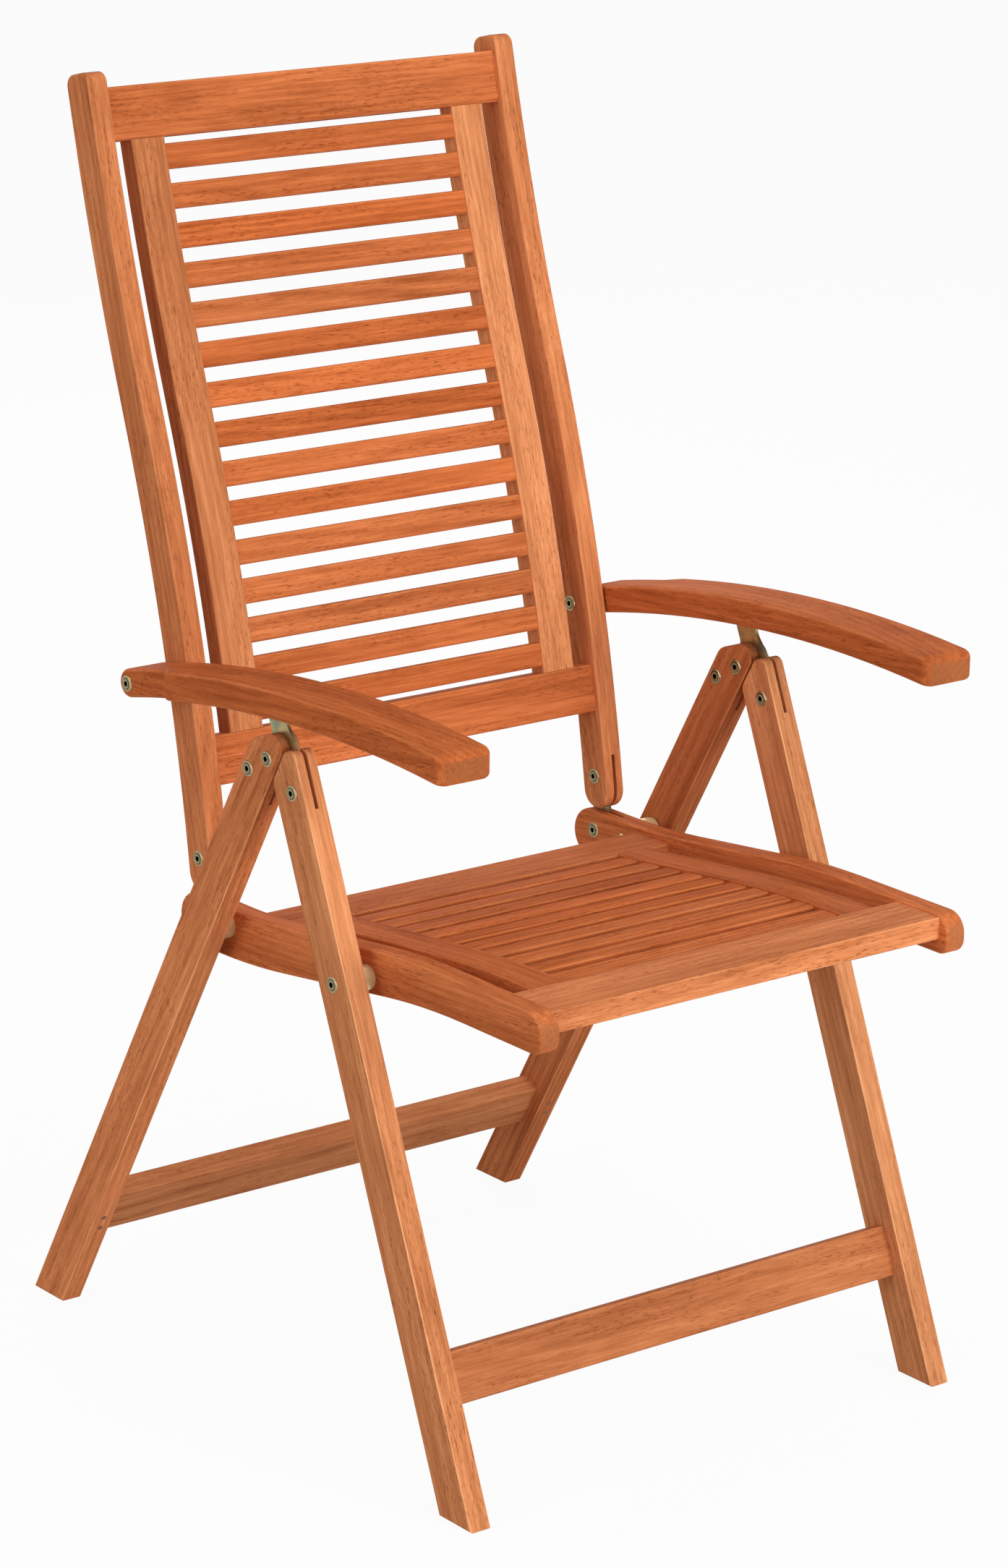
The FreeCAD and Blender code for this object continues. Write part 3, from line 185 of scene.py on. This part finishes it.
def dress(node, material):
    """Give a CAD node one material."""
    slots = nodes[node].data.materials
    slots.clear()
    slots.append(material)


# ---------------------------------------------------------------- wood

# colour of a board: its red, green as a share of red, and blue as a share of red. Each pair is a
# number and its change per unit of warmth or of level.
HEARTWOOD = 0.66
RED_BY_LEVEL = (0.58, 0.74)
GREEN_BY_WARMTH, GREEN_BY_LEVEL = (0.380, -0.115), (0.84, 0.30)
BLUE_BY_WARMTH, BLUE_BY_LEVEL = (0.150, -0.074), (0.72, 0.54)

# layers of the grain, by their scale along and across the board and the noise's own settings:
# slow changes of tone, clouds of streaks, fine fibres, short dark pores, and where pores are many
GRAIN = {
    "drift": (3, 26, {"detail": 2.0}),
    "cloud": (14, 120, {"detail": 3.0, "roughness": 0.6, "distortion": 0.4}),
    "fibre": (20, 480, {"detail": 4.0, "roughness": 0.66}),
    "pores": (120, 900, {"detail": 1.0}),
    "patch": (7, 45, {"detail": 2.0}),
}
NOISE_MIDDLE = 0.5
DRIFT_AMOUNT, CLOUD_AMOUNT, FIBRE_AMOUNT = 0.85, 0.5, 0.95
FIGURE_STOPS = ((0.1, 0.0), (0.5, 0.5), (0.9, 1.0))     # value of the figure, level of the shade
BOARD_OFFSET = 20                                       # spreads the boards through the noise

# growth rings: how far the pith lies beside a board, its tilt in radians, and the rings' scale
PITH_DISTANCE, PITH_TILT = (0.04, 0.12), 0.04
RING_SCALE, RING_PHASE, RING_STRETCH = (40, 60), (0, 6), (0.07, 1, 1)
RING_NOISE = {"Distortion": 3.0, "Detail": 3.0, "Detail_Scale": 0.6, "Detail_Roughness": 0.6}

PORE_SPAN, PATCH_SPAN = (0.56, 0.70), (0.38, 0.62)
PATCHED, UNPATCHED = 0.8, 0.2                           # shares of the pores in patches, everywhere
FLECK_AMOUNT, FLECK_TINT = 0.64, (0.46, 0.33, 0.26)

# end grain, greyer than the sides, with a painted sheen: how far a face turns to the end, then its
# colour by the board's
END_SPAN, END_AMOUNT = (0.72, 0.98), 0.7
END_TONE, END_WARMTH, END_LEVEL = 0.68, -0.7, 0.45

# rounded edges, rubbed paler and given a painted highlight: flatness where the edge ends, patches
# of wear, and none at the ends
EDGE_SPAN, EDGE_PATCHES, EDGE_LEAST = (0.80, 0.94), (0.30, 0.62), 0.25
EDGE_TO_END = (0.25, 0.55)
EDGE_WARMTH, EDGE_LEVEL = -0.35, 1.25
# paleness of the edges, wear and a painted highlight, on the legs and on the rest
LEG_WEAR_AND_HIGHLIGHT, WEAR_AND_HIGHLIGHT = 0.8, 0.3

WOOD_SPECULAR = 0.04
WOOD_ROUGHNESS, FIBRE_ROUGHNESS, FLECK_ROUGHNESS = 0.50, 0.24, 0.12
FIBRE_HEIGHT, FLECK_HEIGHT = 0.6, -0.8
WOOD_BUMP = (0.32, 0.0005)                              # strength, and distance in metres


def along_line(line, x):
    return line[0] + line[1] * x


def timber_shade(tone, warmth, level):
    """Colour of a board at one level of its figure: 0 is a dark streak, 1 a pale one."""
    red = HEARTWOOD * tone * along_line(RED_BY_LEVEL, level)
    green = along_line(GREEN_BY_WARMTH, warmth) * along_line(GREEN_BY_LEVEL, level)
    blue = along_line(BLUE_BY_WARMTH, warmth) * along_line(BLUE_BY_LEVEL, level)
    return red, red * green, red * blue


def board_axes(obj):
    """Directions of a timber's length and of the two ways across it, in the chair's frame."""
    points = np.array([v.co for v in obj.data.vertices], float)
    size = points.max(0) - points.min(0)
    if size[0] >= max(size[1], size[2]):
        return Vector((1, 0, 0)), Vector((0, 1, 0)), Vector((0, 0, 1))
    values, vectors = np.linalg.eigh(np.cov((points[:, 1:] - points[:, 1:].mean(0)).T))
    y, z = vectors[:, int(np.argmax(values))]
    along = Vector((0, y, z)) if z >= 0 else Vector((0, -y, -z))
    side = Vector((1, 0, 0))
    return along, side, along.cross(side)


def growth_rings(g, place, obj, axes, rng):
    """Rings round a tilted pith beside the board."""
    centre = [rng.choice((-1, 1)) * rng.uniform(*PITH_DISTANCE) for _ in range(2)]
    tilt = (0.0, rng.uniform(-PITH_TILT, PITH_TILT), rng.uniform(-PITH_TILT, PITH_TILT))
    turn = Matrix(axes)
    middle = turn @ (sum((Vector(c) for c in obj.bound_box), Vector()) / len(obj.bound_box))
    pith = g.mapped(place, rotation=turn.to_euler("XYZ"))
    pith = g.mapped(pith, location=(-middle.x, centre[0] - middle.y, centre[1] - middle.z))
    pith = g.mapped(pith, rotation=tilt)
    return g.rings(g.mapped(pith, scale=RING_STRETCH), Scale=rng.uniform(*RING_SCALE),
                   Phase_Offset=rng.uniform(*RING_PHASE), **RING_NOISE)


def wood(name, obj, tone, warmth, figure, wear_and_highlight, seed):
    """Oiled hardwood: tone is its lightness, warmth its redness, figure the strength of its rings,
    and the fourth number the paleness of its edges, partly wear and partly a painted highlight."""
    rng = random.Random(seed)
    g = Graph(name)
    axes = board_axes(obj)
    coords = g.add("ShaderNodeTexCoord")
    place, normal = coords.outputs["Object"], coords.outputs["Normal"]
    offset = [rng.uniform(-BOARD_OFFSET, BOARD_OFFSET) for _ in range(3)]
    board = g.mapped(place, rotation=Matrix(axes).to_euler("XYZ"), location=offset)
    layers = {}
    for layer, (along, across, settings) in GRAIN.items():
        layers[layer] = g.noise(g.mapped(board, scale=(along, across, across)), **settings)
    drift, cloud, fibre = layers["drift"], layers["cloud"], layers["fibre"]
    rings = growth_rings(g, place, obj, axes, rng)
    patch = g.maths("MULTIPLY_ADD", g.span(layers["patch"], *PATCH_SPAN), PATCHED, UNPATCHED)
    flecks = g.maths("MULTIPLY", g.span(layers["pores"], *PORE_SPAN), patch)

    value = NOISE_MIDDLE
    for streaks, amount in ((drift, DRIFT_AMOUNT), (cloud, CLOUD_AMOUNT), (rings, figure),
                            (fibre, FIBRE_AMOUNT)):
        value = g.maths("MULTIPLY_ADD", g.maths("SUBTRACT", streaks, NOISE_MIDDLE), amount, value)
    colour = g.ramp(value, [(stop, timber_shade(tone, warmth, level))
                            for stop, level in FIGURE_STOPS])
    # how far a face turns to the board's end and to its two sides
    facing = [g.maths("ABSOLUTE", g.vector_maths("DOT_PRODUCT", normal, axis)) for axis in axes]
    # end faces: the end grain's own colour mixed with a painted sheen
    ends = g.maths("MULTIPLY", g.span(facing[0], *END_SPAN), END_AMOUNT)
    end_grain_sheen_shade = timber_shade(END_TONE * tone, warmth + END_WARMTH, END_LEVEL)
    colour = g.tint(colour, ends, end_grain_sheen_shade, "MIX")
    colour = g.tint(colour, g.maths("MULTIPLY", flecks, FLECK_AMOUNT), FLECK_TINT)
    # rounded edges painted paler: wear, and a painted highlight along the fillets
    flat = g.maths("MAXIMUM", g.maths("MAXIMUM", facing[0], facing[1]), facing[2])
    rubbed_and_highlight = g.maths("MULTIPLY", g.span(flat, *EDGE_SPAN, 1.0, 0.0),
                     g.span(cloud, *EDGE_PATCHES, EDGE_LEAST * wear_and_highlight, wear_and_highlight))
    rubbed_and_highlight = g.maths("MULTIPLY", rubbed_and_highlight, g.span(facing[0], *EDGE_TO_END, 1.0, 0.0))
    edge_wear_highlight_shade = timber_shade(tone, warmth + EDGE_WARMTH, EDGE_LEVEL)
    colour = g.tint(colour, rubbed_and_highlight, edge_wear_highlight_shade, "MIX")

    rough = g.maths("MULTIPLY_ADD", fibre, FIBRE_ROUGHNESS, WOOD_ROUGHNESS)
    rough = g.maths("MULTIPLY_ADD", flecks, FLECK_ROUGHNESS, rough)
    height = g.maths("MULTIPLY", fibre, FIBRE_HEIGHT)
    height = g.maths("MULTIPLY_ADD", flecks, FLECK_HEIGHT, height)
    g.put(g.shader, Base_Color=colour, Roughness=rough, Specular_IOR_Level=WOOD_SPECULAR,
          Normal=g.bump(height, *WOOD_BUMP))
    return g.material


# tone, warmth and figure of the timbers, and the ranges that the slats are drawn from; the right
# rear leg's lower tone is painted shade
TIMBER = {
    "back_top_rail": (0.99, 0.85, 0.10),
    "back_bottom_rail": (0.98, 0.85, 0.12),
    "back_stile_left": (0.96, 0.42, 0.12),
    "back_stile_right": (1.10, 0.28, 0.10),
    "back_inner_stile_left": (0.93, 0.22, 0.14),
    "back_inner_stile_right": (1.20, -0.05, 0.10),
    "armrest_left": (0.83, 1.15, 0.14),
    "armrest_right": (0.86, 1.00, 0.12),
    "front_leg_left": (1.10, 0.00, 0.10),
    "front_leg_right": (1.08, -0.22, 0.10),
    "rear_leg_left": (1.08, 0.36, 0.12),
    # painted shade: the right rear leg is toned darker and redder than the left for the shade under
    # the seat
    "rear_leg_right": (0.78, 0.60, 0.20),
    "front_stretcher": (0.83, 0.40, 0.10),
    "rear_stretcher": (0.77, 0.25, 0.14),
    "seat_side_rail_left": (0.96, 0.85, 0.12),
    "seat_side_rail_right": (1.04, 0.85, 0.12),
    "seat_front_rail": (1.07, 0.32, 0.10),
    "seat_rear_rail": (0.90, 0.65, 0.10),
    "seat_inner_rail_left": (0.86, 0.95, 0.10),
    "seat_inner_rail_right": (0.86, 0.90, 0.10),
}
SLAT_RANGES = ((0.86, 0.99), (0.78, 1.12), (0.06, 0.24))
SLAT_SEED = 11

slat_rng = random.Random(SLAT_SEED)
for record in subparts:
    name = record["node"]
    if record["material_slot"] == "timber":
        look = TIMBER.get(name) or [slat_rng.uniform(*ends) for ends in SLAT_RANGES]
        wear_and_highlight = LEG_WEAR_AND_HIGHLIGHT if "leg" in name else WEAR_AND_HIGHLIGHT
        dress(name, wood("timber_" + name, nodes[name], *look, wear_and_highlight, name))

# ---------------------------------------------------------------- metal

MOTTLED = {"detail": 3.0, "roughness": 0.6}
# stops of a ramp over the patches of the plating
PASSIVATED = [(0.36, (0.22, 0.24, 0.16)), (0.47, (0.33, 0.29, 0.15)), (0.58, (0.46, 0.36, 0.15)),
              (0.70, (0.45, 0.28, 0.12))]
BRASS = [(0.35, (0.78, 0.61, 0.29)), (0.65, (0.93, 0.80, 0.47))]
PLATED_ROUGHNESS, SCRATCH_ROUGHNESS, SCRATCH_BUMP = 0.36, 0.24, (0.08, 0.0002)

# colours of a bolt by its radius, as shares of HEAD_REACH in metres: painted shade in the socket,
# dirt and painted shade in the groove, and a worn rim with a painted highlight
SOCKET_SHADE, GROOVE_DIRT_AND_SHADE = (0.03, 0.026, 0.02), (0.065, 0.050, 0.028)
ZINC, RIM_WEAR_AND_HIGHLIGHT = (0.34, 0.285, 0.16), (0.62, 0.57, 0.40)
HEAD_REACH = 0.008
HEAD_COLOURS = [(0.27, SOCKET_SHADE), (0.345, ZINC), (0.50, ZINC), (0.55, GROOVE_DIRT_AND_SHADE), (0.60, GROOVE_DIRT_AND_SHADE),
                (0.65, ZINC), (0.79, ZINC), (0.87, RIM_WEAR_AND_HIGHLIGHT), (0.95, ZINC)]
TARNISH_SCALE, TARNISH_SPAN, TARNISH = 230.0, (0.36, 0.66), (0.72, 0.66, 0.52)
ZINC_ROUGHNESS, TARNISH_ROUGHNESS = 0.14, 0.30
TURNING, TURNING_BUMP = {"Scale": 700.0, "Distortion": 0.6, "Detail": 1.0}, (0.12, 0.0001)


def plated(name, stops, patch_scale, scratch_scale, metallic):
    """Plated metal: patches of colour along a ramp, and fine scratches in roughness and bump."""
    g = Graph(name)
    coords = g.add("ShaderNodeTexCoord").outputs["Object"]
    patches = g.noise(coords, scale=patch_scale, **MOTTLED)
    scratches = g.noise(g.mapped(coords, scale=scratch_scale))
    rough = g.maths("MULTIPLY_ADD", scratches, SCRATCH_ROUGHNESS,
                    PLATED_ROUGHNESS - SCRATCH_ROUGHNESS / 2)
    g.put(g.shader, Base_Color=g.ramp(patches, stops), Metallic=metallic, Roughness=rough,
          Normal=g.bump(scratches, *SCRATCH_BUMP))
    return g.material


def turned_zinc(name):
    """Bolts: yellowed zinc, with painted shade in the socket, dirt and painted shade in the groove
    of the head, and a worn rim with a painted highlight.
    """
    g = Graph(name)
    coords = g.add("ShaderNodeTexCoord").outputs["Object"]
    radius = g.vector_maths("LENGTH", g.vector_maths("MULTIPLY", coords, (0.0, 1.0, 1.0)))
    colour = g.ramp(g.span(radius, 0.0, HEAD_REACH, smooth=False), HEAD_COLOURS)
    tarnish = g.noise(coords, scale=TARNISH_SCALE, **MOTTLED)
    colour = g.tint(colour, g.span(tarnish, *TARNISH_SPAN), TARNISH)
    rough = g.maths("MULTIPLY_ADD", tarnish, TARNISH_ROUGHNESS, ZINC_ROUGHNESS)
    turning = g.rings(coords, **TURNING)
    g.put(g.shader, Base_Color=colour, Metallic=1.0, Roughness=rough,
          Normal=g.bump(turning, *TURNING_BUMP))
    return g.material


# plated metals by their colours, scale of the patches, scale of the scratches, and metallic share
METALS = {
    "plate_steel": plated("yellow_zinc_plate", PASSIVATED, 60.0, (300, 300, 2600), 1.0),
    "bolt_zinc": turned_zinc("turned_zinc"),
    "spacer_brass": plated("dull_brass", BRASS, 90.0, (2600, 300, 300), 0.45),
}
for record in subparts:
    if record["material_slot"] in METALS:
        dress(record["node"], METALS[record["material_slot"]])

# ---------------------------------------------------------------- turned pieces

SEGMENTS = 48
SHARP_ANGLE = math.radians(38)


def circle(radius):
    """Outline of a ring as pairs of radius and angle."""
    return [(radius, 2 * math.pi * k / SEGMENTS) for k in range(SEGMENTS)]


def hexagon(flat):
    """Outline of a hexagon, by half its width across flats."""
    sixth = math.pi / 3
    return [(flat / math.cos(a % sixth - sixth / 2), a) for _, a in circle(1.0)]


def skin(shape, rings):
    """Close a run of rings, each a list of points, into one solid."""
    rings = [[shape.verts.new(point) for point in ring] for ring in rings]
    for one, two in zip(rings, rings[1:]):
        for k in range(SEGMENTS):
            j = (k + 1) % SEGMENTS
            shape.faces.new((one[k], one[j], two[j], two[k]))
    shape.faces.new(rings[0])
    shape.faces.new(rings[-1])


def to_piece(name, shape, material):
    """Finish a mesh and put it in the scene."""
    bmesh.ops.recalc_face_normals(shape, faces=shape.faces)
    mesh = bpy.data.meshes.new(name)
    shape.to_mesh(mesh)
    shape.free()
    mesh.shade_smooth()
    mesh.set_sharp_from_angle(angle=SHARP_ANGLE)
    mesh.materials.append(material)
    piece = bpy.data.objects.new(name, mesh)
    scene.collection.objects.link(piece)
    return piece


# ---------------------------------------------------------------- bolts

# in mm
SHANK = 3.0
SOCKET_FLAT, SOCKET_DEPTH, SOCKET_MOUTH = 2.1, 2.4, 1.3     # half the width across flats, depth
HEAD_HEIGHT = 1.6
# head of a connector bolt: radius, and height above the wood
HEAD = ((2.75, 1.42), (3.1, 1.56), (4.0, 1.6), (4.35, 1.48), (4.5, 1.16), (4.85, 1.12),
        (5.05, 1.3), (6.0, 1.18), (6.6, 0.86), (6.92, 0.42), (7.0, 0.0))
BOLTED = ("apex_pivot_bolts", "apex_fixing_bolts", "seat_pivot_bolts", "link_lower_bolts",
          "link_upper_bolts", "arm_bolt_left", "arm_bolt_right")
AXIS_REACH = 15.0                                           # points nearer than this share an axis


def bolt_rings(low, high):
    """Rings of one bolt from end to end, each as a place along x and an outline."""
    socket = hexagon(SOCKET_FLAT)
    end = [(HEAD_HEIGHT - SOCKET_DEPTH, socket), (SOCKET_MOUTH, socket)]
    end += [(height, circle(radius)) for radius, height in HEAD]
    end += [(0.0, circle(SHANK))]
    left = [(low + HEAD_HEIGHT - height, ring) for height, ring in end]
    right = [(high - HEAD_HEIGHT + height, ring) for height, ring in reversed(end)]
    return left + right


def add_bolts(name, node, axis, spans):
    """Bolts on one axis, standing for the CAD node they come from."""
    shape = bmesh.new()
    for low, high in spans:
        skin(shape, [[(x * MM, r * MM * math.cos(a), r * MM * math.sin(a)) for r, a in outline]
                     for x, outline in bolt_rings(low / MM, high / MM)])
    piece = to_piece(name, shape, METALS["bolt_zinc"])
    piece.location = (0.0, *axis)
    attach(piece, body_of[node])
    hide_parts(node)


def bolt_axes(node):
    """Axes of a node's bolts, seen along x, each with the spans of x that its bolts fill."""
    groups = []
    for point in np.array([v.co for v in nodes[node].data.vertices], float):
        for group in groups:
            first = group[0]
            if math.hypot(point[1] - first[1], point[2] - first[2]) < AXIS_REACH * MM:
                group.append(point)
                break
        else:
            groups.append([point])
    axes = []
    for group in groups:
        group = np.array(group)
        centre = (group[:, 1:].min(0) + group[:, 1:].max(0)) / 2
        sides = [group[group[:, 0] < 0, 0], group[group[:, 0] > 0, 0]]
        axes.append((tuple(centre), [(side.min(), side.max()) for side in sides if len(side)]))
    return axes


for node in BOLTED:
    for number, (axis, spans) in enumerate(bolt_axes(node), 1):
        add_bolts("%s_heads_%d" % (node, number), node, axis, spans)

# ---------------------------------------------------------------- nails

REAR_LEG_LEAN = math.radians(29.46)
REAR_LEG_X = 0.2545
NAILS = ((0.2429, 0.0960), (0.2494, 0.0845))    # y and z on the front faces of the rear legs
# punched head, in mm: radius, and height above the wood
NAIL_HEAD = ((0.9, 0.08), (1.7, 0.1), (2.15, 0.2), (2.45, 0.18), (2.6, 0.05), (2.6, -0.6))
RUST = [(0.35, (0.09, 0.042, 0.026)), (0.6, (0.24, 0.105, 0.055))]
RUST_SCALE, RUST_BUMP = 900.0, (0.3, 0.0002)
NAIL_METALLIC, NAIL_ROUGHNESS, RUST_ROUGHNESS = 0.35, 0.4, 0.3


def nail_finish():
    g = Graph("nail_head")
    coords = g.add("ShaderNodeTexCoord").outputs["Object"]
    rust = g.noise(coords, scale=RUST_SCALE, **MOTTLED)
    rough = g.maths("MULTIPLY_ADD", rust, RUST_ROUGHNESS, NAIL_ROUGHNESS)
    g.put(g.shader, Base_Color=g.ramp(rust, RUST), Metallic=NAIL_METALLIC, Roughness=rough,
          Normal=g.bump(rust, *RUST_BUMP))
    return g.material


def add_nails(name, x, finish):
    """Nail heads in a rear leg, at the stretcher they hold."""
    side = Vector((1, 0, 0))
    up = Vector((0, -math.sin(REAR_LEG_LEAN), math.cos(REAR_LEG_LEAN)))
    out = Vector((0, -math.cos(REAR_LEG_LEAN), -math.sin(REAR_LEG_LEAN)))
    shape = bmesh.new()
    for y, z in NAILS:
        centre = Vector((x, y, z))
        skin(shape, [[centre + MM * (height * out + r * (math.cos(a) * side + math.sin(a) * up))
                      for r, a in circle(radius)] for radius, height in NAIL_HEAD])
    piece = to_piece(name, shape, finish)
    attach(piece, "rear_frame")


finish = nail_finish()
add_nails("nail_heads_left", -REAR_LEG_X, finish)
add_nails("nail_heads_right", REAR_LEG_X, finish)

# ---------------------------------------------------------------- floor and light

FLOOR_REACH = 30.0
FLOOR_LIT, FLOOR_SEEN = (0.5, 0.5, 0.5), (0.95, 0.95, 0.95)     # its colour for light, and as seen
FLOOR_GLOW = 0.93                                               # share of plain white as seen
FLOOR_ROUGHNESS, FLOOR_SPECULAR = 0.9, 0.1
AMBIENT, AMBIENT_STRENGTH = (1.0, 0.95, 0.93, 1.0), 0.49
WHITE, WHITE_STRENGTH = (1.0, 1.0, 1.0, 1.0), 1.0
# place and target, width of the square panel in metres, and power in watts
LIGHTS = {
    "key": ((0.5, -3.8, 1.1), (0.0, 0.0, 0.55), 2.0, 93),
    "left": ((-3.8, -0.5, 1.6), (0.0, 0.0, 0.55), 2.0, 34),
    "top": ((0.0, 0.0, 3.8), (0.0, 0.0, 0.5), 2.6, 22),
    "rear": ((1.6, 3.4, 2.4), (0.0, 0.0, 0.6), 2.4, 24),
}


def seen_directly(tree):
    """1 for the rays that show a background: from the camera, off gloss and through glass."""
    path = tree.nodes.new("ShaderNodeLightPath")
    value = path.outputs["Is Camera Ray"]
    for ray in ("Is Glossy Ray", "Is Transmission Ray"):
        most = tree.nodes.new("ShaderNodeMath")
        most.operation = "MAXIMUM"
        tree.links.new(value, most.inputs[0])
        tree.links.new(path.outputs[ray], most.inputs[1])
        value = most.outputs[0]
    return value


def make_floor():
    reach = FLOOR_REACH
    corners = [(-reach, -reach, 0), (reach, -reach, 0), (reach, reach, 0), (-reach, reach, 0)]
    mesh = bpy.data.meshes.new("floor")
    mesh.from_pydata(corners, [], [(0, 1, 2, 3)])
    floor = bpy.data.objects.new("floor", mesh)
    scene.collection.objects.link(floor)
    g = Graph("floor_paper")
    seen = seen_directly(g.tree)
    g.put(g.shader, Base_Color=g.tint(FLOOR_LIT, seen, FLOOR_SEEN, "MIX"),
          Roughness=FLOOR_ROUGHNESS, Specular_IOR_Level=FLOOR_SPECULAR)
    glow = g.add("ShaderNodeEmission")
    mix = g.add("ShaderNodeMixShader")
    g.link(g.maths("MULTIPLY", seen, FLOOR_GLOW), mix.inputs[0])
    g.link(g.shader.outputs[0], mix.inputs[1])
    g.link(glow.outputs[0], mix.inputs[2])
    g.link(mix.outputs[0], g.output.inputs[0])
    mesh.materials.append(g.material)


def make_world():
    world = bpy.data.worlds.new("studio")
    scene.world = world
    world.use_nodes = True
    tree = world.node_tree
    tree.nodes.clear()
    output = tree.nodes.new("ShaderNodeOutputWorld")
    mix = tree.nodes.new("ShaderNodeMixShader")
    tree.links.new(seen_directly(tree), mix.inputs[0])
    tree.links.new(mix.outputs[0], output.inputs[0])
    for socket, colour, strength in ((mix.inputs[1], AMBIENT, AMBIENT_STRENGTH),
                                     (mix.inputs[2], WHITE, WHITE_STRENGTH)):
        light = tree.nodes.new("ShaderNodeBackground")
        light.inputs[0].default_value = colour
        light.inputs[1].default_value = strength
        tree.links.new(light.outputs[0], socket)


def make_light(name, place, target, width, power):
    data = bpy.data.lights.new(name, "AREA")
    data.shape = "RECTANGLE"
    data.size = data.size_y = width
    data.energy = power
    lamp = bpy.data.objects.new(name, data)
    scene.collection.objects.link(lamp)
    lamp.location = place
    lamp.rotation_euler = (Vector(target) - Vector(place)).to_track_quat("-Z", "Y").to_euler()


make_floor()
make_world()
for name, light in LIGHTS.items():
    make_light(name, *light)
